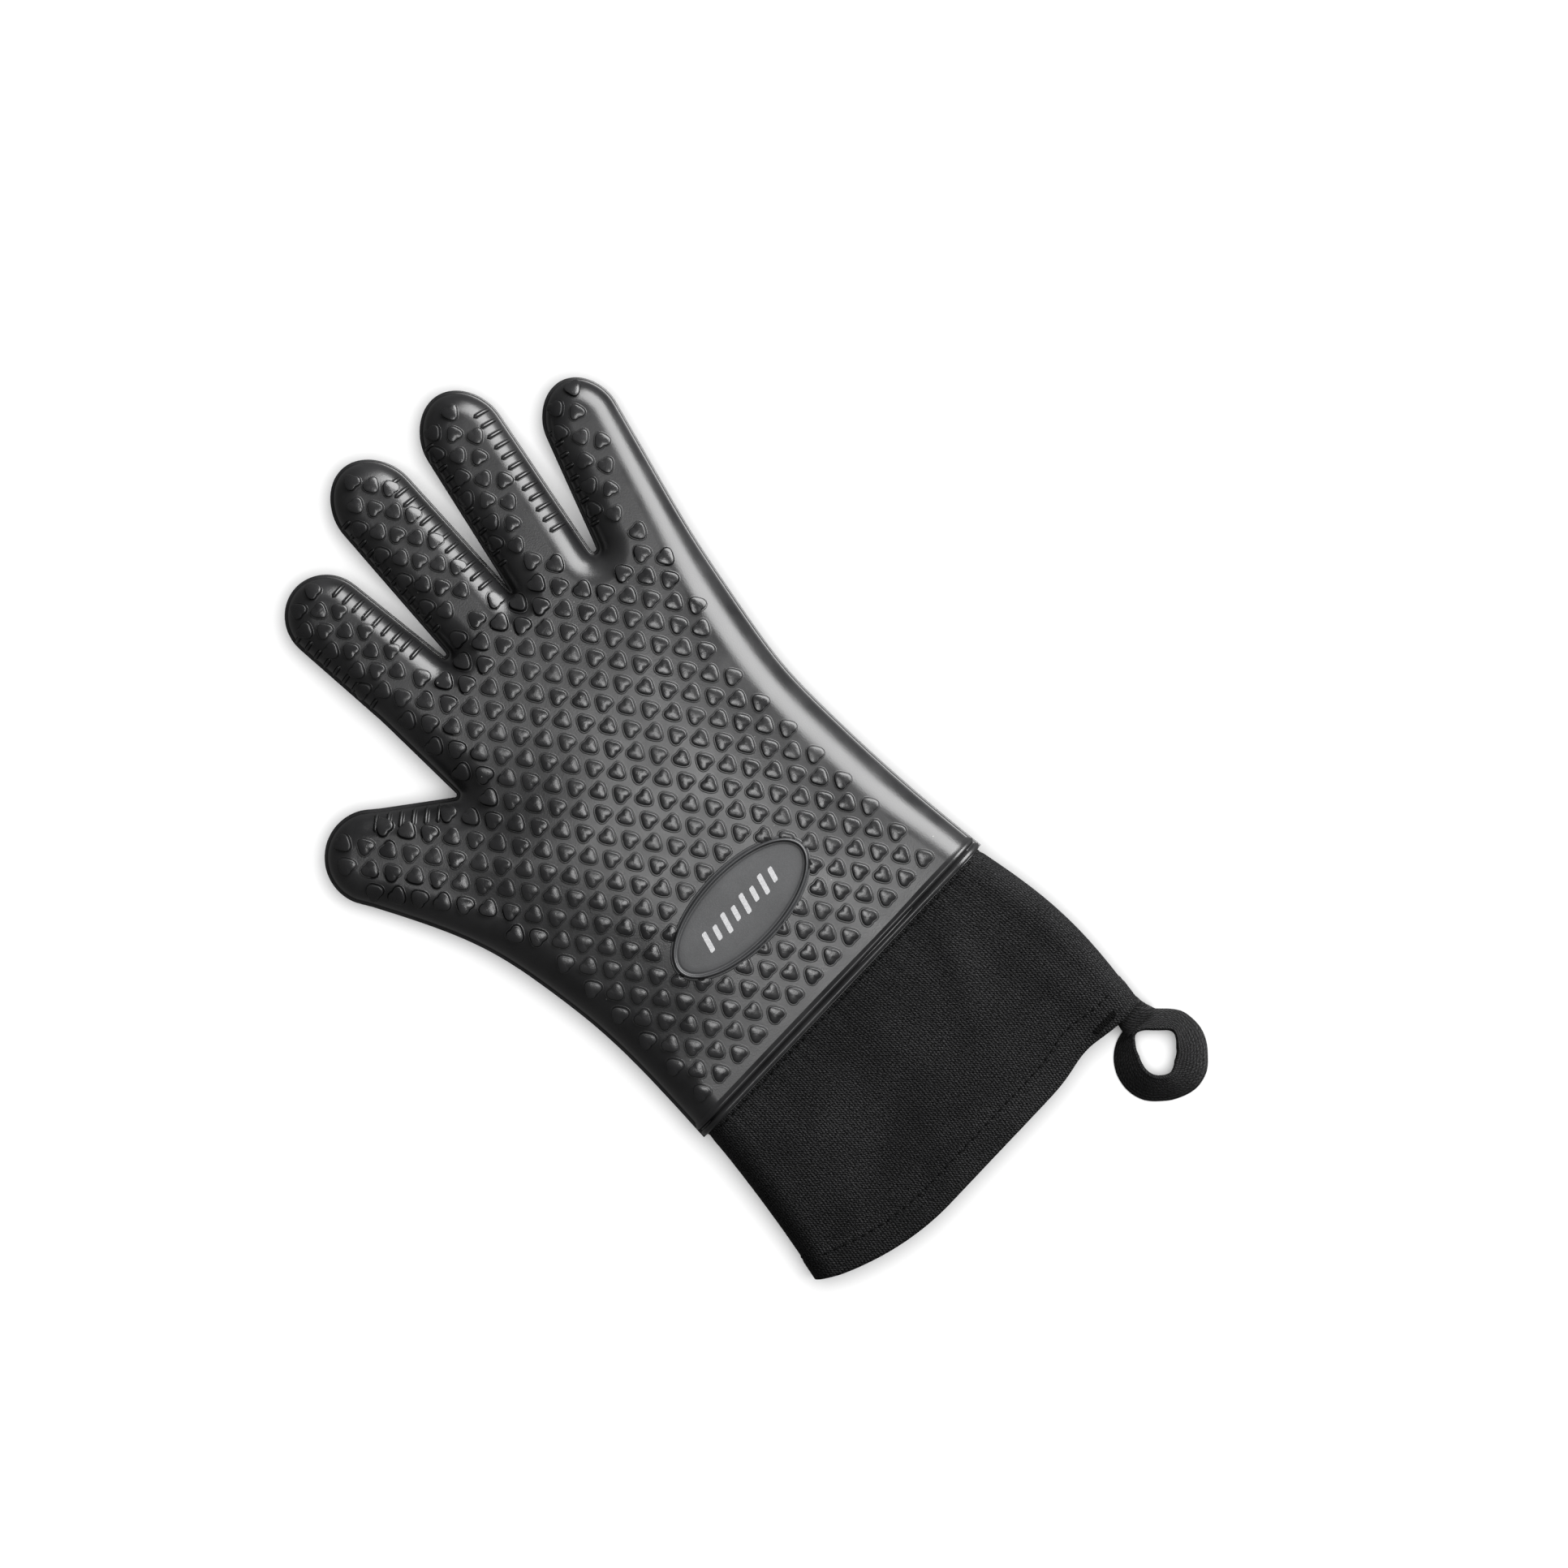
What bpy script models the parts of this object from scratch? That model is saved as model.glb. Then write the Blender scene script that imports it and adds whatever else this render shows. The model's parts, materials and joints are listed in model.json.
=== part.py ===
"""Heat resistant glove: moulded silicone hand, textile liner, canvas cuff and hanging loop.

The glove lies on the back of the hand with the palm up. Fingers point to +Y, the thumb to -X.
The origin is on the underside, at the middle of the line where the cuff joins the silicone.
Lengths are millimetres and angles are degrees; the meshes are made in metres.
"""

from math import cos, pi, radians, sin

import bmesh
import bpy
from mathutils import Vector

MM = 0.001

# walls and clearances
SILICONE_WALL = 1.8
LINER_WALL = 0.8
CANVAS_WALL = 1.2
LINING_WALL = 0.8
PART_GAP = 0.3
JOINT_GAP = 0.4
HINGE_RISE = 0.5

# hand
KNUCKLE_Y = 193.0
KNUCKLE_PITCH = 35.3
PALM_THICKNESS = 28.0
LIP_THICKNESS = PALM_THICKNESS - 2.0
LIP_OVERLAP = 4.0
LIP_WIDTH = 151.0
WAIST_WIDTH = LIP_WIDTH - 6.4
WAIST_Y = 52.0
WEB_RECESS = 1.5

# fingers: across is in knuckle pitches from the centre line, the rest in mm and degrees;
# ROOT_BEND and knuckle are the distances of the two hinges beyond the web line,
# and taper is how much narrower the finger is where its tip begins
FINGER_WIDTH = KNUCKLE_PITCH - 2.5
FINGER_FLOOR = 1.0
FINGER_THICKNESS = PALM_THICKNESS - 4.0
FINGERTIP_THICKNESS = PALM_THICKNESS - 8.0
STUB_DEPTH = 34.0
ROOT_BEND = 6.0
FINGERS = {
    "index": {"across": -0.813, "setback": 0.5, "lean": -3.5, "length": 57.5, "knuckle": 30.0, "taper": 1.8},
    "middle": {"across": 0.193, "setback": 0.0, "lean": 5.0, "length": 73.2, "knuckle": 37.0, "taper": 1.2},
    "ring": {"across": 1.147, "setback": 3.0, "lean": 13.5, "length": 71.0, "knuckle": 36.0, "taper": 1.6},
    "little": {"across": 2.096, "setback": 19.0, "lean": 19.5, "length": 58.5, "knuckle": 30.0, "taper": 4.3},
}

# thumb
THUMB_LEAN = -39.0
THUMB_WIDTH = 50.0
THUMB_TIP_WIDTH = 35.6
THUMB_LENGTH = 49.0
THUMB_KNUCKLE = 25.0
THUMB_WEB_DROP = 42.0
THUMB_WEB_GAP = 1.2

# cuff
CUFF_LENGTH = 88.0
CUFF_FLOOR = 1.0
CUFF_TUCK = 1.0
CUFF_MOUTH_THICKNESS = 17.0
CUFF_FLARE_THUMB = 11.0
CUFF_FLARE_MIDDLE = 4.5
HEM_RISE = 16.0
HEM_RISE_START = -30.0
LINING_SETBACK = 2.0

# stitching
THREAD_WIDTH = 0.6
THREAD_HEIGHT = 0.4
THREAD_PITCH = 6.0
THREAD_LIFT = 0.4
SEAM_ROW = 4.0
HEM_ROW = 11.0

# badge
BADGE_X = -3.4
BADGE_Y = 45.6
BADGE_LENGTH = 66.7
BADGE_HEIGHT = 30.7
BADGE_BASE = 0.8
BADGE_RIM = 1.6
BADGE_RIM_RISE = 0.9

# hanging loop
LOOP_X = 65.3
LOOP_OUTER = 34.5
LOOP_HOLE = 17.0
LOOP_TAPE = 1.6
LOOP_HEIGHT = 9.0
NECK_WIDTH = 11.0
NECK_LENGTH = 3.0
NECK_HEIGHT = 8.0
BARTACK_LENGTH = 10.0
BARTACK_WIDTH = 2.4
BARTACK_HEIGHT = 0.8
BARTACK_SETBACK = 3.0

# facets
SIDE_STEPS = 6
FLAT_STEPS = 4
PALM_FLAT_STEPS = 8
TIP_ANGLES = (0.0, 28.0, 52.0, 72.0, 86.0)
CUFF_RINGS = 7
CUFF_FLAT_STEPS = 10
BADGE_SIDES = 40
LOOP_SIDES = 28

FINISHES = {
    "silicone": {"color": (0.022, 0.022, 0.024), "roughness": 0.36},
    "liner": {"color": (0.055, 0.055, 0.058), "roughness": 0.92},
    "canvas": {"color": (0.018, 0.018, 0.020), "roughness": 0.86},
    "thread": {"color": (0.012, 0.012, 0.014), "roughness": 0.60},
    "tape": {"color": (0.020, 0.020, 0.021), "roughness": 0.80},
    "badge": {"color": (0.075, 0.075, 0.080), "roughness": 0.42},
}


def clear_scene():
    for old in list(bpy.data.objects):
        bpy.data.objects.remove(old, do_unlink=True)


def finish(name):
    material = bpy.data.materials.get(name)
    if material is None:
        material = bpy.data.materials.new(name)
        material.use_nodes = True
        shader = material.node_tree.nodes["Principled BSDF"]
        shader.inputs["Base Color"].default_value = (*FINISHES[name]["color"], 1.0)
        shader.inputs["Roughness"].default_value = FINISHES[name]["roughness"]
        shader.inputs["Metallic"].default_value = 0.0
    return material


def pivot(name, location, parent=None, turn=0.0):
    """An empty on a joint's axis; what moves with the joint hangs from it."""
    empty = bpy.data.objects.new(name, None)
    empty.location = Vector(location) * MM
    empty.rotation_euler = (0.0, 0.0, radians(turn))
    empty.parent = parent
    bpy.context.scene.collection.objects.link(empty)
    return empty


def solid(name, points, faces, material, parent=None, cutter=False):
    """One named object from points in mm and faces, turned to face outwards."""
    mesh = bpy.data.meshes.new(name)
    mesh.from_pydata([Vector(p) * MM for p in points], [], faces)
    shape = bmesh.new()
    shape.from_mesh(mesh)
    bmesh.ops.recalc_face_normals(shape, faces=shape.faces)
    shape.to_mesh(mesh)
    shape.free()
    mesh.shade_smooth()
    mesh.set_sharp_from_angle(angle=radians(40))
    mesh.materials.append(finish(material))
    item = bpy.data.objects.new(name, mesh)
    item.parent = parent
    bpy.context.scene.collection.objects.link(item)
    if cutter:
        item.hide_render = True
        item.display_type = "WIRE"
    return item


def ring_faces(first, second, count):
    """Quads between two rings of count points that start at the given indices."""
    return [(first + k, first + (k + 1) % count, second + (k + 1) % count, second + k) for k in range(count)]


def upright_cap(start, flat_steps):
    """Closes a flat oval with strips that run from its lower to its upper points."""
    count = 2 * (flat_steps + SIDE_STEPS)
    faces = []
    for k in range(-SIDE_STEPS // 2, flat_steps + SIDE_STEPS // 2):
        around = (k, k + 1, 2 * flat_steps + SIDE_STEPS - k - 1, 2 * flat_steps + SIDE_STEPS - k)
        face = []
        for point in around:
            if start + point % count not in face:
                face.append(start + point % count)
        faces.append(tuple(face))
    return faces


def loft(rings, cap_steps=0):
    """Points and faces of a solid through equal rings, with both ends closed."""
    count = len(rings[0])
    points = [p for ring in rings for p in ring]
    faces = []
    for level in range(len(rings) - 1):
        faces += ring_faces(level * count, (level + 1) * count, count)
    last = (len(rings) - 1) * count
    faces.append(tuple(range(count)))
    faces += upright_cap(last, cap_steps) if cap_steps else [tuple(range(last, last + count))]
    return points, faces


def tube(outer, inner, closed_end):
    """Points and faces of a hollow skin: open at its first ring, open or closed at its last."""
    count = len(outer[0])
    points = [p for ring in outer + inner for p in ring]
    start = len(outer) * count
    faces = ring_faces(0, start, count)
    for level in range(len(outer) - 1):
        faces += ring_faces(level * count, (level + 1) * count, count)
    for level in range(len(inner) - 1):
        faces += ring_faces(start + level * count, start + (level + 1) * count, count)
    last_outer = (len(outer) - 1) * count
    last_inner = start + (len(inner) - 1) * count
    if closed_end:
        faces.append(tuple(range(last_outer, last_outer + count)))
        faces.append(tuple(range(last_inner, last_inner + count)))
    else:
        faces += ring_faces(last_outer, last_inner, count)
    return points, faces


def merged(shapes):
    """Several shapes' points and faces as one mesh."""
    points = []
    faces = []
    for shape_points, shape_faces in shapes:
        start = len(points)
        points += shape_points
        faces += [tuple(start + k for k in face) for face in shape_faces]
    return points, faces


def section(left, right, bottom, top, flat_steps=FLAT_STEPS):
    """A flat oval in X and Z: level top and bottom, half-round sides."""
    high = (top - bottom) / 2.0
    wide = min(high, (right - left) / 2.0 - 0.5)
    middle = (top + bottom) / 2.0
    span = (right - left) - 2.0 * wide
    points = [(left + wide + span * k / flat_steps, bottom) for k in range(flat_steps)]
    for k in range(SIDE_STEPS):
        angle = -pi / 2 + pi * k / SIDE_STEPS
        points.append((right - wide + wide * cos(angle), middle + high * sin(angle)))
    points += [(right - wide - span * k / flat_steps, top) for k in range(flat_steps)]
    for k in range(SIDE_STEPS):
        angle = pi / 2 + pi * k / SIDE_STEPS
        points.append((left + wide + wide * cos(angle), middle + high * sin(angle)))
    return points


def blend(stations, y, column):
    """A station table's value at y, straight between its rows."""
    rows = sorted(stations)
    if y <= rows[0][0]:
        return rows[0][column]
    for low, high in zip(rows, rows[1:]):
        if y <= high[0]:
            share = (y - low[0]) / (high[0] - low[0])
            return low[column] + share * (high[column] - low[column])
    return rows[-1][column]


# ---- fingers: each is described in its own frame, x across, y along, z up from the floor ----


def digit(name):
    """A finger's or the thumb's sizes and place, in one form."""
    if name == "thumb":
        index = digit("index")
        edge_x = index["x"] - index["half"] - THUMB_WEB_GAP
        half = THUMB_WIDTH / 2.0
        lean = radians(THUMB_LEAN)
        return {
            "x": edge_x - half * cos(lean),
            "y": KNUCKLE_Y - THUMB_WEB_DROP + half * sin(lean),
            "lean": THUMB_LEAN,
            "half": half,
            "tip": THUMB_TIP_WIDTH / 2.0,
            "length": THUMB_LENGTH,
            "knuckle": THUMB_KNUCKLE,
        }
    sizes = FINGERS[name]
    return {
        "x": sizes["across"] * KNUCKLE_PITCH,
        "y": KNUCKLE_Y - sizes["setback"],
        "lean": sizes["lean"],
        "half": FINGER_WIDTH / 2.0,
        "tip": (FINGER_WIDTH - sizes["taper"]) / 2.0,
        "length": sizes["length"],
        "knuckle": sizes["knuckle"],
    }


def digit_share(place, along):
    """0 at the digit's root, 1 where its round tip begins."""
    return max(0.0, min(1.0, along / (place["length"] - place["tip"])))


def digit_top(place, along):
    """Height of the palm-side face over the floor."""
    thick = FINGER_THICKNESS + digit_share(place, along) * (FINGERTIP_THICKNESS - FINGER_THICKNESS)
    return FINGER_FLOOR + thick


def digit_ring(place, along, inset, lift):
    """Section points of a digit at a distance along it, shrunk by inset and moved down by lift."""
    share = digit_share(place, along)
    half = place["half"] + share * (place["tip"] - place["half"]) - inset
    low = FINGER_FLOOR + inset - lift
    high = digit_top(place, along) - inset - lift
    return [(x, along, z) for x, z in section(-half, half, low, high)]


def tip_rings(place, inset, lift):
    """Rings that round the digit off to its end."""
    start = place["length"] - place["tip"]
    reach = place["tip"] - inset
    straight = digit_ring(place, start, inset, lift)
    middle = (FINGER_FLOOR + digit_top(place, start)) / 2.0 - lift
    rings = []
    for degrees in TIP_ANGLES:
        angle = radians(degrees)
        shrink = cos(angle)
        rings.append([(x * shrink, start + reach * sin(angle), middle + (z - middle) * shrink)
                      for x, _, z in straight])
    return rings


def corner(place, side, along=0.0):
    """Plan position of the digit's edge at its root: side is -1 for left and 1 for right."""
    lean = radians(place["lean"])
    across = side * place["half"]
    return (place["x"] + across * cos(lean) + along * sin(lean),
            place["y"] - across * sin(lean) + along * cos(lean))


def make_digit(name, frame):
    """A digit's two silicone segments and two liner segments, on their joint pivots."""
    place = digit(name)
    root_height = digit_top(place, ROOT_BEND) + HINGE_RISE
    knuckle_height = digit_top(place, place["knuckle"]) + HINGE_RISE
    lean = radians(place["lean"])
    root = (place["x"] + ROOT_BEND * sin(lean), place["y"] + ROOT_BEND * cos(lean), root_height)
    base = pivot(name + "_base_pivot", root, frame, -place["lean"])
    tip = pivot(name + "_tip_pivot", (0.0, place["knuckle"] - ROOT_BEND, knuckle_height - root_height), base)
    half_gap = JOINT_GAP / 2.0
    liner_inset = SILICONE_WALL + PART_GAP
    layers = (("shell", 0.0, SILICONE_WALL, "silicone"),
              ("liner", liner_inset, liner_inset + LINER_WALL, "liner"))
    for layer, outer, inner, material in layers:
        stations = (ROOT_BEND + half_gap, (ROOT_BEND + place["knuckle"]) / 2.0, place["knuckle"] - half_gap)
        skins = []
        for inset in (outer, inner):
            rings = [digit_ring(place, y, inset, root_height) for y in stations]
            skins.append([[(x, y - ROOT_BEND, z) for x, y, z in ring] for ring in rings])
        solid(f"{name}_base_{layer}", *tube(*skins, closed_end=False), material, base)
        skins = []
        for inset in (outer, inner):
            rings = [digit_ring(place, place["knuckle"] + half_gap, inset, knuckle_height)]
            rings += tip_rings(place, inset, knuckle_height)
            skins.append([[(x, y - place["knuckle"], z) for x, y, z in ring] for ring in rings])
        solid(f"{name}_tip_{layer}", *tube(*skins, closed_end=True), material, tip)
    return base, tip


# ---- palm ----


def palm_stations():
    """Rows of y, left edge, right edge and top height up the palm, below its finger line."""
    thumb = digit("thumb")
    outer_x, outer_y = corner(thumb, -1)
    inner_x, inner_y = corner(thumb, 1)
    index_edge = digit("index")["x"] - digit("index")["half"] - 0.5
    little_x, little_y = corner(digit("little"), 1)
    waist = WAIST_WIDTH / 2.0
    shoulder_y = outer_y - 22.0
    rows = [
        (-LIP_OVERLAP, -LIP_WIDTH / 2.0, LIP_WIDTH / 2.0, LIP_THICKNESS),
        (WAIST_Y * 0.45, -waist - 1.0, waist + 1.0, PALM_THICKNESS - 0.3),
        (WAIST_Y, -waist, waist, PALM_THICKNESS),
        (shoulder_y, -waist + (outer_x + 2.0 + waist) * 0.5, waist + 0.4, PALM_THICKNESS),
        (outer_y - 2.5, outer_x + 2.0, waist + (little_x - waist) * 0.28, PALM_THICKNESS - 0.5),
        (inner_y - 2.0, inner_x - 1.5, little_x - (little_y - inner_y) * 0.31, PALM_THICKNESS - 1.5),
        (inner_y + 3.0, index_edge, little_x - (little_y - inner_y) * 0.25, PALM_THICKNESS - 1.7),
    ]
    return rows


def finger_line():
    """Plan points of the palm's finger end, from the index edge to the little finger's edge."""
    places = [digit(name) for name in FINGERS]
    line = [corner(places[0], -1)]
    for left, right in zip(places, places[1:]):
        from_left = corner(left, 1)
        from_right = corner(right, -1)
        line.append(((from_left[0] + from_right[0]) / 2.0, min(from_left[1], from_right[1])))
    line.append(corner(places[-1], 1))
    return [(x, y - WEB_RECESS) for x, y in line]


def palm_body(inset, overrun):
    """The palm and the roots of the five digits, overlapping, shrunk by inset."""
    rings = []
    for row, (y, left, right, top) in enumerate(palm_stations()):
        if row == 0:
            y -= overrun
        points = section(left + inset, right - inset, inset, top - inset, PALM_FLAT_STEPS)
        rings.append([(x, y, z) for x, z in points])
    line = finger_line()
    end = section(line[0][0] + 0.5 + inset, line[-1][0] - 1.0 - inset, FINGER_FLOOR * 0.5 + inset,
                  FINGER_FLOOR + FINGER_THICKNESS + 0.3 - inset, PALM_FLAT_STEPS)
    rings.append([(x, blend(line, x, 1) - inset, z) for x, z in end])
    shapes = [loft(rings, PALM_FLAT_STEPS)]
    for name in [*FINGERS, "thumb"]:
        place = digit(name)
        lean = radians(place["lean"])
        stub = []
        end = ROOT_BEND - JOINT_GAP / 2.0
        for reach, along in ((-STUB_DEPTH, 0.0), (0.0, 0.0), (end + overrun, end)):
            flat = digit_ring(place, along, inset, 0.0)
            stub.append([(place["x"] + x * cos(lean) + reach * sin(lean),
                          place["y"] - x * sin(lean) + reach * cos(lean), z) for x, _, z in flat])
        shapes.append(loft(stub))
    return merged(shapes)


def make_palm(frame):
    """Silicone palm shell and its liner, each hollow and open at the wrist and the five digits."""
    liner_inset = SILICONE_WALL + PART_GAP
    layers = (("palm_shell", 0.0, SILICONE_WALL, "silicone"),
              ("palm_liner", liner_inset, liner_inset + LINER_WALL, "liner"))
    for name, outer, inner, material in layers:
        body = solid(name, *palm_body(outer, 0.0), material, frame)
        hollow = solid(name + "_hollow", *palm_body(inner, 1.0), material, frame, cutter=True)
        cut = body.modifiers.new("hollow", "BOOLEAN")
        cut.operation = "DIFFERENCE"
        cut.object = hollow
        cut.solver = "EXACT"
        cut.use_self = True


def make_badge(frame):
    """Oval badge: a plate with a raised rim round a flat field."""
    foot = PALM_THICKNESS + PART_GAP
    face = foot + BADGE_BASE
    profile = (
        (0.0, foot),
        (0.0, face + BADGE_RIM_RISE * 0.6),
        (BADGE_RIM * 0.4, face + BADGE_RIM_RISE),
        (BADGE_RIM, face),
    )
    rings = []
    for inward, z in profile:
        across = BADGE_LENGTH / 2.0 - inward
        up = BADGE_HEIGHT / 2.0 - inward
        turns = [2.0 * pi * k / BADGE_SIDES for k in range(BADGE_SIDES)]
        rings.append([(across * cos(turn), up * sin(turn), z) for turn in turns])
    badge = solid("badge", *loft(rings), "badge", frame)
    badge.location = Vector((BADGE_X, BADGE_Y, 0.0)) * MM


# ---- cuff, in the frame of its own hinge at the lip's end ----


def hem_y(x):
    """The hem's distance from the seam: level, then rising towards the thumb side."""
    span = LIP_WIDTH / 2.0 + CUFF_FLARE_THUMB + HEM_RISE_START
    if x > HEM_RISE_START:
        return -CUFF_LENGTH
    return -CUFF_LENGTH + HEM_RISE * ((HEM_RISE_START - x) / span) ** 2


def cuff_size(share):
    """Left edge, right edge and top height, from the seam at 0 to the hem at 1."""
    half = LIP_WIDTH / 2.0 - CUFF_TUCK
    left = -half - (CUFF_FLARE_THUMB + CUFF_TUCK) * share ** 1.2
    right = half + CUFF_FLARE_MIDDLE * sin(pi * share)
    thick = LIP_THICKNESS - CUFF_FLOOR - CUFF_TUCK
    top = CUFF_FLOOR + thick + (CUFF_MOUTH_THICKNESS - thick) * share
    return left, right, top


def cuff_start():
    return -LIP_OVERLAP - JOINT_GAP


def cuff_y(x, share):
    return cuff_start() + share * (hem_y(x) - cuff_start())


def cuff_rings(inset, setback=0.0):
    """Closed rings of the cuff, shrunk by inset."""
    rings = []
    for step in range(CUFF_RINGS):
        share = min(step / (CUFF_RINGS - 1), 1.0 - setback / CUFF_LENGTH)
        left, right, top = cuff_size(share)
        points = section(left + inset, right - inset, CUFF_FLOOR + inset, top - inset, CUFF_FLAT_STEPS)
        rings.append([(x, cuff_y(x, share), z) for x, z in points])
    return rings


def half_cuff(side):
    """One canvas panel: side is 1 for the palm side and -1 for the back."""
    rings = []
    for outer, inner in zip(cuff_rings(0.0), cuff_rings(CANVAS_WALL)):
        middle = (max(p[2] for p in outer) + min(p[2] for p in outer)) / 2.0
        slack = 0.01
        strip = []
        for skin in (outer, inner):
            kept = [p for p in skin if (p[2] - middle) * side > slack]
            kept.sort(key=lambda p: side_order(p, middle, side))
            reach = (min(p[0] for p in skin), max(p[0] for p in skin))
            lip = middle + side * PART_GAP / 2.0
            first = (reach[0], end_y(skin, 0), lip)
            last = (reach[1], end_y(skin, 1), lip)
            strip.append([first, *kept, last])
        rings.append(strip[0] + strip[1][::-1])
    return loft(rings)


def side_order(point, middle, side):
    """Sorts a half ring's points from its left edge over to its right edge."""
    return (point[0], side * (point[2] - middle))


def end_y(skin, right):
    """Y of a ring's outermost point on its left (0) or right (1)."""
    pick = max if right else min
    return pick(skin, key=lambda p: p[0])[1]


def thread(row_share, side):
    """A row's thread as one flat strand; row_share gives the share along the cuff at x."""
    left, right, _ = cuff_size(0.5)
    margin = LIP_THICKNESS / 2.0 + THREAD_PITCH
    steps = int((right - left - 2.0 * margin) / THREAD_PITCH)
    rings = []
    for k in range(steps + 1):
        x = left + margin + k * THREAD_PITCH
        share = row_share(x)
        y = cuff_y(x, share)
        foot = cuff_size(share)[2] + THREAD_LIFT if side > 0 else CUFF_FLOOR - THREAD_LIFT
        crown = foot + side * THREAD_HEIGHT
        half = THREAD_WIDTH / 2.0
        rings.append([(x, y - half, foot), (x, y + half, foot), (x, y + half, crown), (x, y - half, crown)])
    return loft(rings)


def hem_share(x):
    return (hem_y(x) + HEM_ROW - cuff_start()) / (hem_y(x) - cuff_start())


def seam_share(x):
    return -SEAM_ROW / (hem_y(x) - cuff_start())


def make_cuff(frame):
    """Two canvas panels, the lining, both stitch rows and the loop's neck, on the cuff's hinge."""
    hinge = (0.0, cuff_start() + JOINT_GAP / 2.0, LIP_THICKNESS + HINGE_RISE)
    cuff = pivot("cuff_pivot", hinge, frame)

    def on_cuff(name, shape, material):
        points, faces = shape
        moved = [tuple(Vector(p) - Vector(hinge)) for p in points]
        return solid(name, moved, faces, material, cuff)

    on_cuff("cuff_palm_panel", half_cuff(1), "canvas")
    on_cuff("cuff_back_panel", half_cuff(-1), "canvas")
    inset = CANVAS_WALL + PART_GAP
    skins = [cuff_rings(depth, LINING_SETBACK) for depth in (inset, inset + LINING_WALL)]
    on_cuff("cuff_lining", tube(*skins, closed_end=False), "liner")
    for row, row_share in (("seam", seam_share), ("hem", hem_share)):
        on_cuff(row + "_thread_palm", thread(row_share, 1), "thread")
        on_cuff(row + "_thread_back", thread(row_share, -1), "thread")
    neck_low = CUFF_FLOOR + 1.0
    start = hem_y(LOOP_X) - PART_GAP
    outline = [(-NECK_WIDTH / 2.0, neck_low), (NECK_WIDTH / 2.0, neck_low),
               (NECK_WIDTH / 2.0, neck_low + NECK_HEIGHT), (-NECK_WIDTH / 2.0, neck_low + NECK_HEIGHT)]
    neck = loft([[(LOOP_X + x, y, z) for x, z in outline] for y in (start - NECK_LENGTH, start)])
    on_cuff("loop_neck", neck, "tape")
    tack_y = hem_y(LOOP_X) + BARTACK_SETBACK
    tack_z = cuff_size(1.0 - (BARTACK_SETBACK + BARTACK_WIDTH) / CUFF_LENGTH)[2] + THREAD_LIFT
    tack_x = LOOP_X - NECK_WIDTH / 2.0
    tack = loft([[(tack_x + end * BARTACK_LENGTH / 2.0, tack_y + y, tack_z + z) for y, z in
                  ((0.0, 0.0), (BARTACK_WIDTH, 0.0), (BARTACK_WIDTH, BARTACK_HEIGHT), (0.0, BARTACK_HEIGHT))]
                 for end in (-1, 1)])
    on_cuff("bartack", tack, "thread")
    make_loop(cuff, hinge, start - NECK_LENGTH, neck_low + NECK_HEIGHT)


def make_loop(cuff, cuff_hinge, neck_end, height):
    """Hanging loop: tape turned into a ring that stands on its edge and leans out at its foot."""
    near = neck_end - JOINT_GAP
    loop_hinge = Vector((LOOP_X, near + JOINT_GAP / 2.0, height + HINGE_RISE))
    swing = pivot("loop_pivot", loop_hinge - Vector(cuff_hinge), cuff)
    outer = LOOP_OUTER / 2.0
    inner = LOOP_HOLE / 2.0
    centre = Vector((LOOP_X, near - outer, 0.0))
    profile = ((outer, 0.0), (outer, LOOP_TAPE), (inner + LOOP_TAPE, LOOP_HEIGHT), (inner, LOOP_HEIGHT))
    points = []
    for k in range(LOOP_SIDES):
        turn = 2.0 * pi * k / LOOP_SIDES
        for radius, z in profile:
            spot = centre + Vector((radius * cos(turn), radius * sin(turn), z))
            points.append(tuple(spot - loop_hinge))
    count = len(profile)
    faces = []
    for k in range(LOOP_SIDES):
        faces += ring_faces(k * count, ((k + 1) % LOOP_SIDES) * count, count)
    solid("loop", points, faces, "tape", swing)


def build():
    clear_scene()
    frame = pivot("glove_frame", (0.0, 0.0, 0.0))
    make_palm(frame)
    make_badge(frame)
    for name in [*FINGERS, "thumb"]:
        make_digit(name, frame)
    make_cuff(frame)


build()
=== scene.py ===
import json
from math import atan, cos, pi, radians, sin, tan

import bpy
import numpy as np
from mathutils import Matrix, Vector
from mathutils.geometry import delaunay_2d_cdt
from mathutils.kdtree import KDTree


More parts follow.
